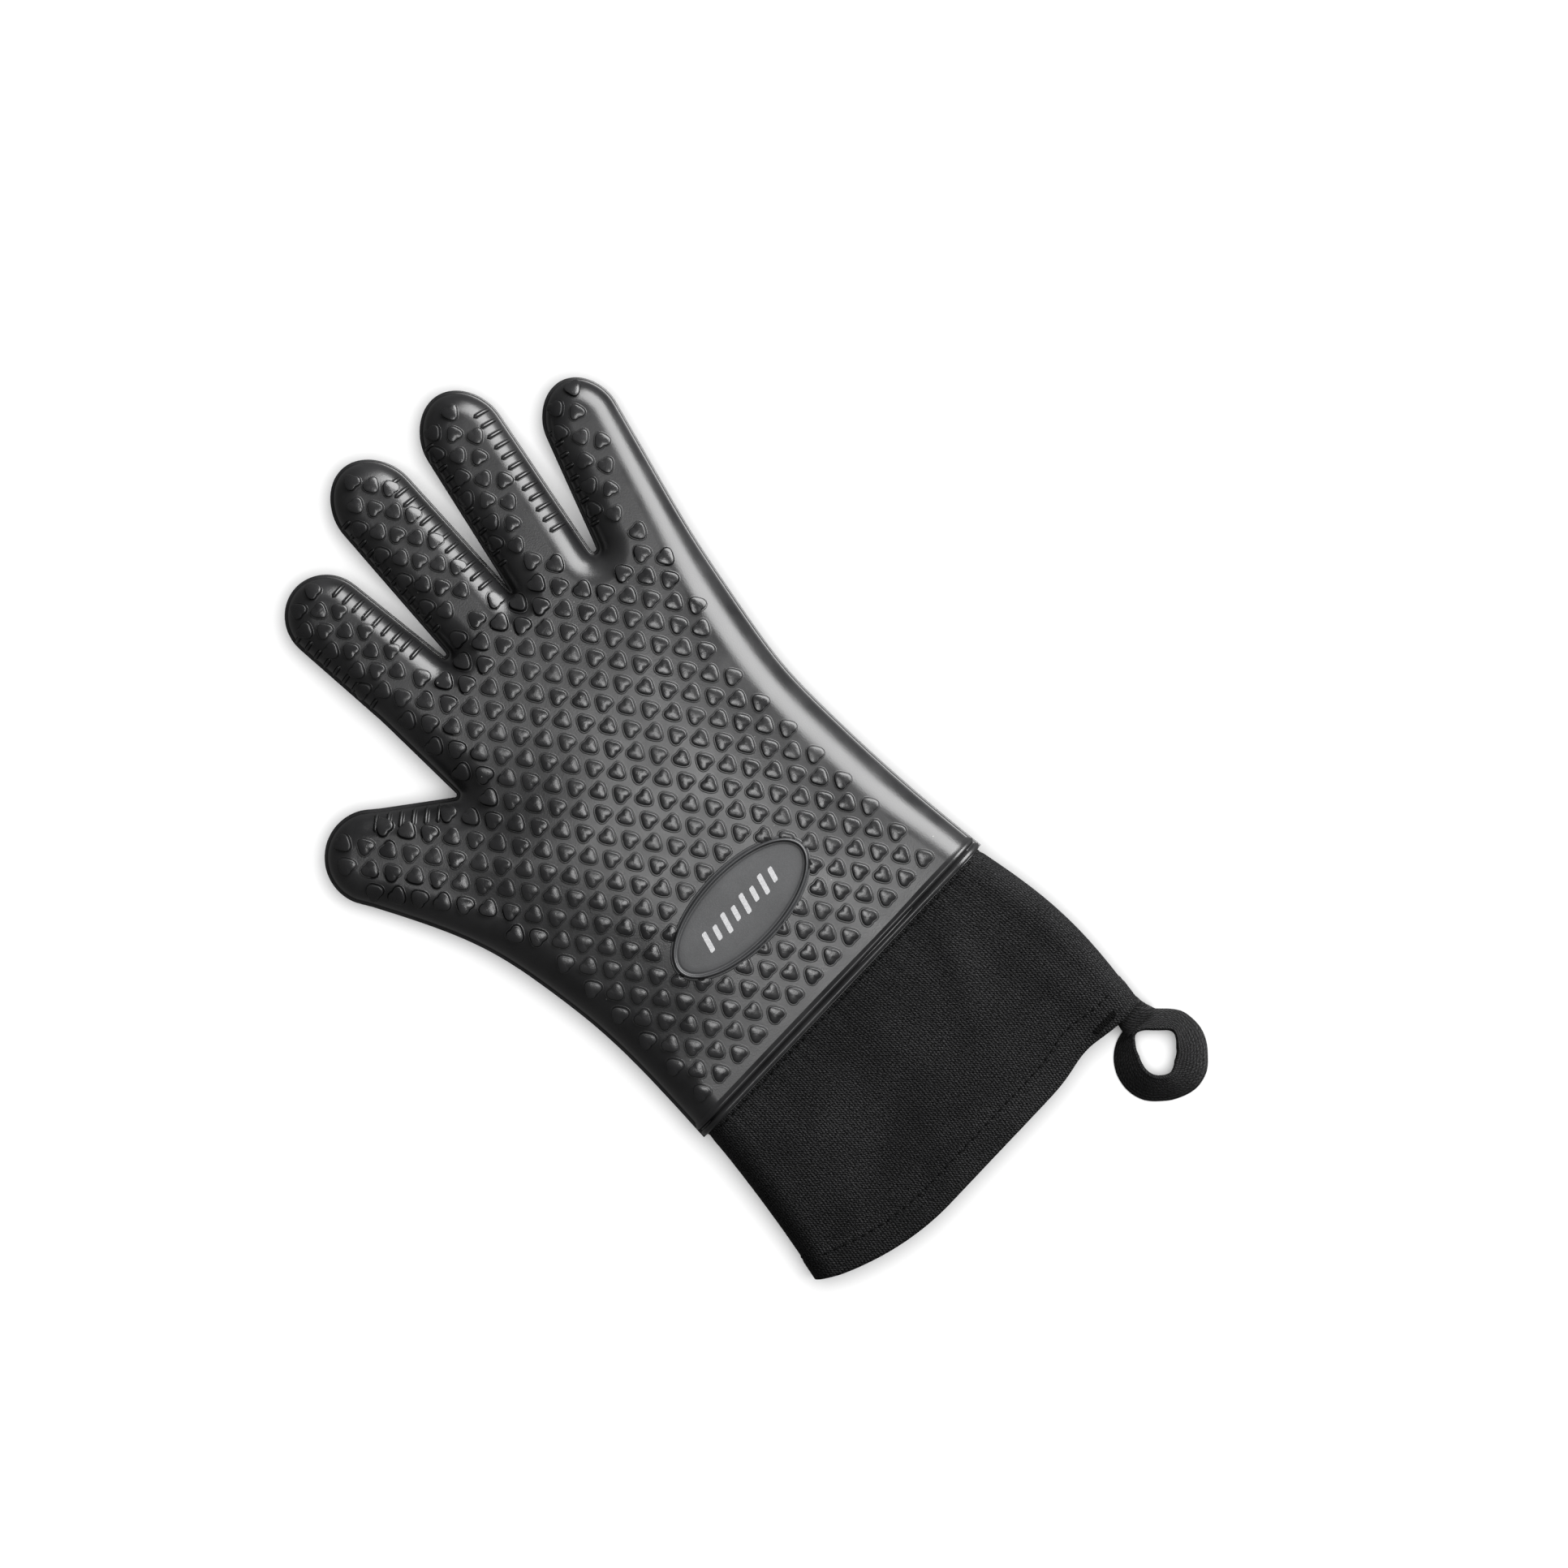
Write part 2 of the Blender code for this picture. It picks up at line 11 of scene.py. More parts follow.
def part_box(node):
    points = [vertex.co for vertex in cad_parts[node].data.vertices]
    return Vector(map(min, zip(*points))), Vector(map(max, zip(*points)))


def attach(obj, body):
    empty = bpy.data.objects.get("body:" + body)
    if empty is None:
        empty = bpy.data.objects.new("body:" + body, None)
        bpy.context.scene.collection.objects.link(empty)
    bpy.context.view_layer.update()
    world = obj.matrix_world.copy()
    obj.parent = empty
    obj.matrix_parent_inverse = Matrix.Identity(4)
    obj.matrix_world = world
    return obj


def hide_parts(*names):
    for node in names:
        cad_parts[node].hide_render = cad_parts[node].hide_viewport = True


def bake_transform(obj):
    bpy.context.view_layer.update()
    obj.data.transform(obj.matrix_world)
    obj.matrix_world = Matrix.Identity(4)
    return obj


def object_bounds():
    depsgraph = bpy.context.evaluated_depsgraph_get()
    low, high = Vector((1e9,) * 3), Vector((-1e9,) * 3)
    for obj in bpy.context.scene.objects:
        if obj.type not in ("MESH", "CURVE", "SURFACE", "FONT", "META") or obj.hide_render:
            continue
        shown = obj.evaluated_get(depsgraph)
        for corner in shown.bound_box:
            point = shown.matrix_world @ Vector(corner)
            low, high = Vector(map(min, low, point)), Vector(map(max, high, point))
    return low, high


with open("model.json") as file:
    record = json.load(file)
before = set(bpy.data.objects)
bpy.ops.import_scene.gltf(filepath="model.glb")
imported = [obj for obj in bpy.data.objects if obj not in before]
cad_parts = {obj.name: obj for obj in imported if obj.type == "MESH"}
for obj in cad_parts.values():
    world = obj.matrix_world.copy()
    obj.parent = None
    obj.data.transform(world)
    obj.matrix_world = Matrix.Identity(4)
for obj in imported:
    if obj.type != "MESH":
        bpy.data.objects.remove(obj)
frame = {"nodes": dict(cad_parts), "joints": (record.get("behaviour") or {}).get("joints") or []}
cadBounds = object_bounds()

# Lengths below are in millimetres in the glove's own frame: +Y to the fingertips, thumb at -X, palm up.
mm = 0.001
fingers = ("index", "middle", "ring", "little")
digits = (*fingers, "thumb")


def nodePoints(name):
    mesh = frame["nodes"][name].data
    points = np.empty(len(mesh.vertices) * 3)
    mesh.vertices.foreach_get("co", points)
    return points.reshape(-1, 3) / mm


def nodeBox(name):
    low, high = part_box(name)
    return np.array(low) / mm, np.array(high) / mm


def jointNamed(name):
    return next(joint for joint in frame["joints"] if joint["name"] == name)


def smoothStep(value, low, high):
    share = np.clip((value - low) / (high - low), 0.0, 1.0)
    return share * share * (3.0 - 2.0 * share)


# The silicone hand: outline and thickness come from the digits and the palm that the frame gives.
skin = {
    "inset": 0.6,          # the skin's outline lies this far inside the solid's
    "rootReach": 6.0,      # from a digit's root hinge back to its web
    "bendReach": 6.0,      # half a length about a digit's root hinge
    "middleReach": 7.0,    # and at its middle hinge
    "webRadius": 2.0,      # between thumb and palm
    "webDepth": 0.8,       # the other webs lie this much lower than the roots' reach
    "thumbWebLow": 40.0,   # where the thumb's web aims at the palm's edge, below the palm's top
    "thumbWebRun": 20.0,   # length of the thumb's side that sets the web's direction
    "littleJoin": (16.0, -6.0, 12.0),   # palm edge stops below the root hinge; the finger's side takes over
    "thumbJoin": (28.0, 14.0, -4.0),
    "edgeStep": 9.0, "edgeSpacing": 2.0, "edgeRounds": 70,
    "tipStretch": {"index": 1.03, "middle": 1.17, "ring": 1.17, "little": 1.17, "thumb": 1.0},
    "ringAngles": (0, 9, 18, 27, 36, 45, 54, 63, 72, 81, 90),
    "sideSpacing": 1.3,
    "webPoints": 14,
    "tipPoints": 44,
    "flatSpacing": 3.4,
    "wristRise": 48.0,     # the palm gains its height over this length
    "rootFade": (-42.0, -2.0),
    "sideFade": 4.0,
    "flattened": 0.5,      # the flat faces lie this much lower than a full round
}


def readDigit(name):
    origin = np.array(jointNamed(name + "_root_bend")["pos_m"][:2]) / mm
    middle = np.array(jointNamed(name + "_middle_bend")["pos_m"][:2]) / mm
    across = np.array(jointNamed(name + "_root_bend")["axis"][:2])
    along = np.array((-across[1], across[0]))
    base = nodePoints(name + "_base_shell")
    tip = nodePoints(name + "_tip_shell")
    baseAlong = (base[:, :2] - origin) @ along
    tipAlong = (tip[:, :2] - origin) @ along
    tipStart = np.unique(np.round(tipAlong, 1))[1]  # where the round end begins
    root = base[baseAlong < baseAlong.min() + 0.1]
    end = tip[abs(tipAlong - tipStart) < 0.1]
    return {
        "name": name, "origin": origin, "across": across, "along": along,
        "middle": float((middle - origin) @ along), "tipStart": float(tipStart),
        "rootHalf": abs((root[:, :2] - origin) @ across).max() - skin["inset"],
        "tipHalf": abs((end[:, :2] - origin) @ across).max() - skin["inset"],
        "rootHigh": (root[:, 2].max() - root[:, 2].min()) / 2,
        "rootMid": (root[:, 2].max() + root[:, 2].min()) / 2,
        "tipHigh": (end[:, 2].max() - end[:, 2].min()) / 2,
        "tipMid": (end[:, 2].max() + end[:, 2].min()) / 2,
    }


digit = {name: readDigit(name) for name in digits}
palmPoints = nodePoints("palm_shell")
palmEdges = np.array([edge.vertices[:] for edge in frame["nodes"]["palm_shell"].data.edges])
palmLow, palmHigh = nodeBox("palm_shell")
wristY = float(palmLow[1])
wristTop = palmPoints[palmPoints[:, 1] < wristY + 0.1, 2].max()


def halfWidth(place, s):
    return place["rootHalf"] + (place["tipHalf"] - place["rootHalf"]) * s / place["tipStart"]


# On a digit, s runs from its root hinge to its tip and u runs across it.
def toGlove(place, s, u):
    s, u = np.asarray(s, float), np.asarray(u, float)
    return place["origin"] + s[..., None] * place["along"] + u[..., None] * place["across"]


def toDigit(place, points):
    away = np.asarray(points)[..., :2] - place["origin"]
    return away @ place["along"], away @ place["across"]


def palmEdge(y, side):
    a, b = palmPoints[palmEdges[:, 0]], palmPoints[palmEdges[:, 1]]
    hit = (a[:, 1] - y) * (b[:, 1] - y) < 0
    share = (y - a[hit, 1]) / (b[hit, 1] - a[hit, 1])
    x = a[hit, 0] + share * (b[hit, 0] - a[hit, 0])
    return (x.max() if side > 0 else x.min()) - side * skin["inset"]


def resample(points, spacing):
    points = np.array(points)
    lengths = np.r_[0, np.cumsum(np.linalg.norm(np.diff(points, axis=0), axis=1))]
    marks = np.linspace(0, lengths[-1], max(2, round(lengths[-1] / spacing) + 1))
    return np.stack([np.interp(marks, lengths, points[:, k]) for k in (0, 1)], axis=1)


def relax(points, rounds):
    points = np.array(points)
    for _ in range(rounds):
        points[1:-1] = (points[:-2] + 2 * points[1:-1] + points[2:]) / 4
    return points


def digitSide(place, first, last, side):
    steps = max(2, round(abs(last - first) / skin["sideSpacing"]))
    s = np.linspace(first, last, steps + 1)
    return toGlove(place, s, side * halfWidth(place, s))


def digitEnd(place):
    tilt = atan((place["rootHalf"] - place["tipHalf"]) / place["tipStart"])
    turn = np.linspace(tilt, pi - tilt, skin["tipPoints"])
    rise = np.sin(turn) * (1 + (skin["tipStretch"][place["name"]] - 1) * np.sin(turn))
    return toGlove(place, place["tipStart"] + place["tipHalf"] * rise, place["tipHalf"] * np.cos(turn))


def webBetween(left, right):
    root = -skin["rootReach"] - skin["webDepth"]
    down = toGlove(right, root, -halfWidth(right, root))
    up = toGlove(left, root, halfWidth(left, root))
    if down[1] < up[1]:
        s = toDigit(left, down)[0]
        up = toGlove(left, s, halfWidth(left, s))
    else:
        s = toDigit(right, up)[0]
        down = toGlove(right, s, -halfWidth(right, s))
    middle = (down + up) / 2
    arm = (down - up) / 2
    drop = np.array((arm[1], -arm[0]))
    turn = np.linspace(0, pi, skin["webPoints"])[:, None]
    return middle + np.cos(turn) * arm + np.sin(turn) * drop


def thumbWeb():
    index, thumb = digit["index"], digit["thumb"]
    top = toGlove(index, -skin["rootReach"], -halfWidth(index, -skin["rootReach"]))
    lowY = palmHigh[1] - skin["thumbWebLow"]
    low = np.array((palmEdge(lowY, -1), lowY))
    start = toGlove(thumb, 0.0, halfWidth(thumb, 0.0))
    end = toGlove(thumb, skin["thumbWebRun"], halfWidth(thumb, skin["thumbWebRun"]))
    comeDown = (low - top) / np.linalg.norm(low - top)
    goUp = (end - start) / np.linalg.norm(end - start)
    shares = np.linalg.solve(np.stack([comeDown, -goUp], axis=1), start - top)
    corner = top + shares[0] * comeDown
    swing = np.arccos(np.clip(comeDown @ goUp, -1, 1))
    reach = skin["webRadius"] * tan(swing / 2)
    centre = corner - reach * comeDown + skin["webRadius"] * np.array((comeDown[1], -comeDown[0]))
    spoke = (corner - reach * comeDown) - centre
    arc = [centre + Matrix.Rotation(-swing * k / skin["webPoints"], 2) @ Vector(spoke)
           for k in range(skin["webPoints"] + 1)]
    return resample([top, corner - reach * comeDown], skin["sideSpacing"]), np.array(arc)


# The outline runs from the right of the wrist round the digits to the left of the wrist.
def makeOutline():
    little, thumb = digit["little"], digit["thumb"]
    below, first, last = skin["littleJoin"]
    rightY = np.arange(wristY + 0.05, little["origin"][1] - below, skin["edgeStep"])
    right = [(palmEdge(y, 1), y) for y in rightY] + [*digitSide(little, first, last, 1)]
    parts = [relax(resample(right, skin["edgeSpacing"]), skin["edgeRounds"])]
    parts.append(digitSide(little, last + 1, little["tipStart"], 1))
    parts.append(digitEnd(little))
    for nearer, further in (("little", "ring"), ("ring", "middle"), ("middle", "index")):
        web = webBetween(digit[further], digit[nearer])
        lowest = toDigit(digit[nearer], web[0])[0]
        parts.append(digitSide(digit[nearer], digit[nearer]["tipStart"], lowest, -1))
        parts.append(web)
        lowest = toDigit(digit[further], web[-1])[0]
        parts.append(digitSide(digit[further], lowest, digit[further]["tipStart"], 1))
        parts.append(digitEnd(digit[further]))
    straight, arc = thumbWeb()
    parts.append(digitSide(digit["index"], digit["index"]["tipStart"], -skin["rootReach"], -1))
    parts += [straight, arc]
    parts.append(digitSide(thumb, toDigit(thumb, arc[-1])[0], thumb["tipStart"], 1))
    parts.append(digitEnd(thumb))
    below, first, last = skin["thumbJoin"]
    leftY = np.arange(wristY + 0.05, thumb["origin"][1] - below, skin["edgeStep"])
    left = [*digitSide(thumb, first, last, -1)] + [(palmEdge(y, -1), y) for y in leftY[::-1]]
    parts.append(digitSide(thumb, thumb["tipStart"], first + 1, -1))
    parts.append(relax(resample(left, skin["edgeSpacing"]), skin["edgeRounds"]))
    points = np.concatenate(parts)
    apart = np.r_[True, np.linalg.norm(np.diff(points, axis=0), axis=1) > 0.12]
    points = relax(points[apart], 3)
    points[0, 1] = points[-1, 1] = wristY
    return points


def outwards(points):
    tangent = np.gradient(points, axis=0)
    tangent[0] = (0, 1)
    tangent[-1] = (0, -1)
    tangent /= np.linalg.norm(tangent, axis=1)[:, None]
    return np.stack([tangent[:, 1], -tangent[:, 0]], axis=1)


outline = makeOutline()
outlineOut = outwards(outline)
below = np.arange(60, 0, -1.5)[:, None] * np.array((0.0, -1.0))   # the border runs on past the wrist
border = np.concatenate([outline[0] + below, outline, outline[-1] + below[::-1]])
borderTree = KDTree(len(border))
for number, spot in enumerate(border):
    borderTree.insert((spot[0], spot[1], 0.0), number)
borderTree.balance()
print("outline:", len(outline), "points")


# How far inside the outline each point lies, and the way out.
def edgeDistance(points):
    points = np.asarray(points, float)
    nearest = np.array([borderTree.find((x, y, 0.0))[1] for x, y in points])
    best = np.full(len(points), 1e9)
    out = np.zeros((len(points), 2))
    for step in (-1, 0):
        a = border[np.clip(nearest + step, 0, len(border) - 2)]
        b = border[np.clip(nearest + step, 0, len(border) - 2) + 1]
        run = b - a
        share = np.clip(((points - a) * run).sum(1) / np.maximum((run * run).sum(1), 1e-9), 0, 1)
        foot = a + share[:, None] * run
        away = points - foot
        normal = np.stack([run[:, 1], -run[:, 0]], axis=1)
        normal /= np.maximum(np.linalg.norm(normal, axis=1), 1e-9)[:, None]
        length = np.linalg.norm(away, axis=1)
        side = np.where((away * normal).sum(1) > 0, -1.0, 1.0)
        closer = length < abs(best)
        wayOut = -side[:, None] * away / np.maximum(length, 1e-4)[:, None]
        direction = np.where((length > 1e-4)[:, None], wayOut, normal)
        best = np.where(closer, side * length, best)
        out = np.where(closer[:, None], direction, out)
    return best, out


# Half the thickness, and the height of its middle.
def thickness(points):
    points = np.asarray(points, float)
    palmTop = wristTop + (palmHigh[2] - wristTop) * np.clip((points[:, 1] - wristY) / skin["wristRise"], 0, 1)
    high = np.zeros(len(points))
    middle = np.zeros(len(points))
    total = np.zeros(len(points))
    for place in digit.values():
        s, u = toDigit(place, points)
        share = np.clip(s / place["tipStart"], -0.2, 1)
        fade = smoothStep(s, *skin["rootFade"])
        ownHigh = place["rootHigh"] + (place["tipHigh"] - place["rootHigh"]) * share
        ownMid = place["rootMid"] + (place["tipMid"] - place["rootMid"]) * share
        weight = np.exp(-np.maximum(abs(u) - halfWidth(place, s), 0) / skin["sideFade"]) + 1e-9
        high += weight * (palmTop / 2 + (ownHigh - palmTop / 2) * fade)
        middle += weight * (palmTop / 2 + (ownMid - palmTop / 2) * fade)
        total += weight
    return high / total, middle / total


sway = {"height": 0.45, "longWave": 0.047, "shortWave": 0.083}


def swayAt(points):
    x, y = points[:, 0], points[:, 1]
    long = np.sin(sway["longWave"] * x + 0.7 * np.sin(0.031 * y) + 0.6) * np.cos(sway["longWave"] * y + 0.4)
    short = np.sin(sway["shortWave"] * x - 1.1) * np.sin(sway["shortWave"] * y + 0.03 * x)
    return sway["height"] * (0.7 * long + 0.3 * short)


# The palm is domed, and the back lies higher, so that the glove rests on its bumps.
dome = {
    "drop": 5.0, "reach": 54.0,
    "wrist": (5.0, 42.0), "fingers": (122.0, 176.0), "thumb": (-82.0, -58.0),   # where it fades out
    "backLift": 1.5,
}


def domeAt(points, inside, side):
    near = np.clip(1 - inside / dome["reach"], 0, 1)
    x, y = points[:, 0], points[:, 1]
    weight = smoothStep(y, *dome["wrist"]) * (1 - smoothStep(y, *dome["fingers"]))
    weight = weight * smoothStep(x, *dome["thumb"])
    weight = weight * dome["drop"] * max(side, 0)
    return weight * near ** 2 - dome["backLift"] * max(-side, 0), 2 * weight * near / dome["reach"]


def faceHeight(points, side, high, middle, rise, drop):
    flattened = (1 - swayAt(points)) * side * rise ** 4 * skin["flattened"]
    return middle + side * high * rise - flattened - drop * rise ** 2


# Points and normals on the palm's face (side 1) or the back's (side -1).
def surfaceAt(points, side):
    points = np.asarray(points, float)
    inside, out = edgeDistance(points)
    high, middle = thickness(points)
    flat = np.clip(1 - inside / high, 0, 1)
    rise = np.sqrt(1 - flat * flat)
    drop, slope = domeAt(points, inside, side)
    z = faceHeight(points, side, high, middle, rise, drop)
    normals = np.concatenate([out * (flat + slope * rise ** 2)[:, None], (side * rise)[:, None]], axis=1)
    normals /= np.linalg.norm(normals, axis=1)[:, None]
    return np.concatenate([points, z[:, None]], axis=1), normals, inside


# One piece's mesh, gathered part by part.
class Shape:
    def __init__(self):
        self.points = []
        self.normals = []
        self.grooves = []
        self.faces = []
        self.count = 0

    def add(self, points, normals, faces, grooves=None):
        self.points.append(np.asarray(points, float))
        self.normals.append(np.asarray(normals, float))
        self.grooves.append(np.zeros(len(points)) if grooves is None else np.asarray(grooves, float))
        self.faces += [tuple(int(k) + self.count for k in face) for face in faces]
        self.count += len(points)


def faceNormals(points, faces):
    points = np.asarray(points, float)
    normals = np.zeros_like(points)
    for size in {len(face) for face in faces}:
        group = np.array([face for face in faces if len(face) == size])
        a, b, c = points[group[:, 0]], points[group[:, 1]], points[group[:, 2]]
        normal = np.cross(b - a, c - a)
        if size == 4:
            normal = normal + np.cross(c - a, points[group[:, 3]] - a)
        for k in range(size):
            np.add.at(normals, group[:, k], normal)
    return normals / np.maximum(np.linalg.norm(normals, axis=1), 1e-12)[:, None]


def makeObject(name, points, faces, normals=None, uvs=None, grooves=None):
    mesh = bpy.data.meshes.new(name)
    mesh.from_pydata((np.asarray(points) * mm).tolist(), [], faces)
    mesh.shade_smooth()
    if uvs is not None:
        layer = mesh.uv_layers.new(name="cloth")
        loops = np.empty(len(mesh.loops), int)
        mesh.loops.foreach_get("vertex_index", loops)
        layer.data.foreach_set("uv", np.asarray(uvs, np.float32)[loops].ravel())
    if grooves is not None:
        layer = mesh.attributes.new("groove", "FLOAT", "POINT")
        layer.data.foreach_set("value", np.asarray(grooves, np.float32))
    if normals is not None:
        mesh.normals_split_custom_set_from_vertices(np.asarray(normals).tolist())
    item = bpy.data.objects.new(name, mesh)
    bpy.context.scene.collection.objects.link(item)
    return item


def shapeObject(name, shape):
    return makeObject(name, np.concatenate(shape.points), shape.faces, np.concatenate(shape.normals),
                      grooves=np.concatenate(shape.grooves))


def bandFaces(rows, across, wrap=False, flip=False):
    faces = []
    for row in range(rows - 1):
        for k in range(across if wrap else across - 1):
            after = (k + 1) % across
            near, far = row * across, (row + 1) * across
            face = (near + k, near + after, far + after, far + k)
            faces.append(face[::-1] if flip else face)
    return faces


def digitRegion(points):
    region = np.full(len(points), "palm", dtype=object)
    for name, place in digit.items():
        s, u = toDigit(place, points)
        near = (s > -skin["rootReach"] - 1.5) & (s < place["tipStart"] + 25)
        near &= abs(u) < halfWidth(place, s) + 2.0
        region[near & (s < place["middle"] / 2)] = name + "_lower"
        region[near & (s >= place["middle"] / 2)] = name + "_upper"
    return region


liner = {"inset": 2.5}   # from the silicone's outer face to the cloth
pieceNames = ["palm"] + [f"{name}_{part}" for name in digits for part in ("lower", "upper")]
shapes = {name: Shape() for name in pieceNames}
linerShapes = {name: Shape() for name in pieceNames}


# Each face goes to the piece it lies in.
def spreadFaces(points, normals, faces, region=None, into=shapes, grooves=None):
    points, normals = np.asarray(points), np.asarray(normals)
    grooves = np.zeros(len(points)) if grooves is None else np.asarray(grooves)
    if region is None:
        centres = np.array([points[list(face)].mean(0)[:2] for face in faces])
        region = digitRegion(centres)
    for name in set(region):
        own = [faces[k] for k in np.flatnonzero(region == name)]
        used = sorted({k for face in own for k in face})
        place = {old: new for new, old in enumerate(used)}
        into[name].add(points[used], normals[used], [tuple(place[k] for k in face) for face in own],
                       grooves[used])


def makeSkin():
    angles = np.radians(skin["ringAngles"])
    high, _ = thickness(outline)
    count = len(outline)
    rings = [outline - outlineOut * (high * (1 - cos(angle)))[:, None] for angle in angles]
    inner = rings[-1]
    left, right = inner[-1], inner[0]
    steps = round((right[0] - left[0]) / skin["flatSpacing"])
    wrist = np.stack([np.linspace(left[0], right[0], steps + 1)[1:-1], np.full(steps - 1, wristY)], axis=1)
    loop = np.concatenate([inner, wrist])
    gap = skin["flatSpacing"]
    grid = []
    for row, y in enumerate(np.arange(wristY + gap, border[:, 1].max(), gap * 0.866)):
        grid += [(x, y) for x in np.arange(border[:, 0].min() + (row % 2) * gap / 2, border[:, 0].max(), gap)]
    grid = np.array(grid)
    distance, _ = edgeDistance(grid)
    grid = grid[(distance > thickness(grid)[0] + 1.4) & (grid[:, 1] > wristY + 1.5)]
    everything = np.concatenate([loop, grid])
    found = delaunay_2d_cdt([Vector(p) for p in everything], [], [list(range(len(loop)))], 1, 1e-4)
    made, triangles, origins = found[0], found[2], found[3]
    made = np.array([tuple(p) for p in made])
    for side in (1, -1):
        points = [surfaceRing(ring, side, k) for k, ring in enumerate(rings)]
        flat = surfaceAt(made, side)
        total = len(rings) * count
        index = []
        for k, source in enumerate(origins):
            ringSource = [i for i in source if i < count]
            index.append(total - count + ringSource[0] if ringSource else total + k)
        faces = bandFaces(len(rings), count, flip=side < 0)
        for triangle in triangles:
            corners = tuple(index[k] for k in triangle)
            if len(set(corners)) == 3:
                faces.append(corners if side > 0 else corners[::-1])
        everyPoint = np.concatenate([p for p, _ in points] + [flat[0]])
        everyNormal = np.concatenate([n for _, n in points] + [flat[1]])
        spreadFaces(everyPoint, everyNormal, faces)
        spreadFaces(everyPoint - everyNormal * liner["inset"], -everyNormal, [face[::-1] for face in faces],
                    into=linerShapes)


def surfaceRing(ring, side, level):
    angle = radians(skin["ringAngles"][level])
    high, middle = thickness(outline)
    rise = sin(angle)
    drop, slope = domeAt(ring, high * (1 - cos(angle)), side)
    z = faceHeight(ring, side, high, middle, rise, drop)
    normals = np.concatenate([outlineOut * (cos(angle) + slope * rise ** 2)[:, None],
                              np.full((len(ring), 1), side * rise)], axis=1)
    normals /= np.linalg.norm(normals, axis=1)[:, None]
    return np.concatenate([ring, z[:, None]], axis=1), normals


makeSkin()
print("skin made:", sum(len(shape.faces) for shape in shapes.values()), "faces")


# The mould line round the outline: outwards, up.
mouldLine = {"profile": ((-0.9, 1.3), (-0.05, 0.55), (0.55, 0.5), (0.95, 0.42), (1.15, 0.16), (1.15, -0.16),
                         (0.95, -0.42), (0.55, -0.5), (-0.05, -0.55), (-0.9, -1.3))}


def makeMouldLine():
    _, middle = thickness(outline)
    rows = []
    for out, up in mouldLine["profile"]:
        spots = outline + outlineOut * out
        rows.append(np.concatenate([spots, (middle + up)[:, None]], axis=1))
    points = np.concatenate(rows)
    faces = bandFaces(len(rows), len(outline), flip=True)
    spreadFaces(points, faceNormals(points, faces), faces)


makeMouldLine()
print("mould line made")


# On a finger the heart-shaped bumps lie on a slanted grid: the first bump, the step along a row and the step to
# the next row, each as (along the finger from its root hinge, across it), and the rightmost place in use.
fingerGrid = {
    "index": ((7.2, -12.1), (0.6, 9.0), (6.5, 4.2), 6.5),
    "middle": ((9.1, -10.7), (1.8, 9.3), (7.4, 4.75), 8.6),
    "ring": ((8.5, -11.6), (2.7, 9.5), (7.6, 3.15), 4.2),
    "little": ((5.6, -11.2), (3.9, 9.0), (8.87, 2.73), 3.8),
}
heart = {
    "radius": 2.84,
    "turns": 20,
    # outwards from the bump's side, height, how far it counts as groove (groove makes the silicone matt and,
    # from 0.1 up, paints shade into it; below zero it only makes the top glossier)
    "profile": ((1.1, -0.1, 0.0), (0.9, 0.1, 0.0), (0.74, 0.1, 0.3), (0.6, -0.06, 1.0), (0.38, -0.1, 1.0),
                (0.28, 0.7, 1.0), (0.2, 0.98, 0.8), (0.06, 1.12, 0.15), (-0.2, 1.2, -0.12),
                (-0.9, 1.33, -0.15)),
    "crown": 1.45,
    "fingerScale": 0.92,
    "rowStart": 8.5, "rowPitch": 7.06, "pitch": 10.1, "firstX": -63.6,
    "leftMargin": 8.5, "rightMargin": 14.0, "edgeMargin": 4.6,   # plain silicone along the edges
    "narrower": (4.0, 110.0, 50.0),    # the right margin shrinks by this, from this height, over this length
    "belowThumb": 10.0,
    "clearOfFingers": 3.0,
    "fingerSide": 2.0, "fingerEdge": 3.2,
    "apart": 6.4,
    "badgeGap": 0.8, "badgeOverlap": 0.6, "sunk": -0.3,
}


def heartRadius(turn):
    wrapped = (turn + pi) % (2 * pi) - pi
    point = (turn % (2 * pi)) - pi
    return heart["radius"] * (1 + 0.12 * np.cos(3 * (turn - pi)) - 0.17 * np.exp(-(wrapped / 0.38) ** 2)
                              + 0.06 * np.exp(-(point / 0.3) ** 2))


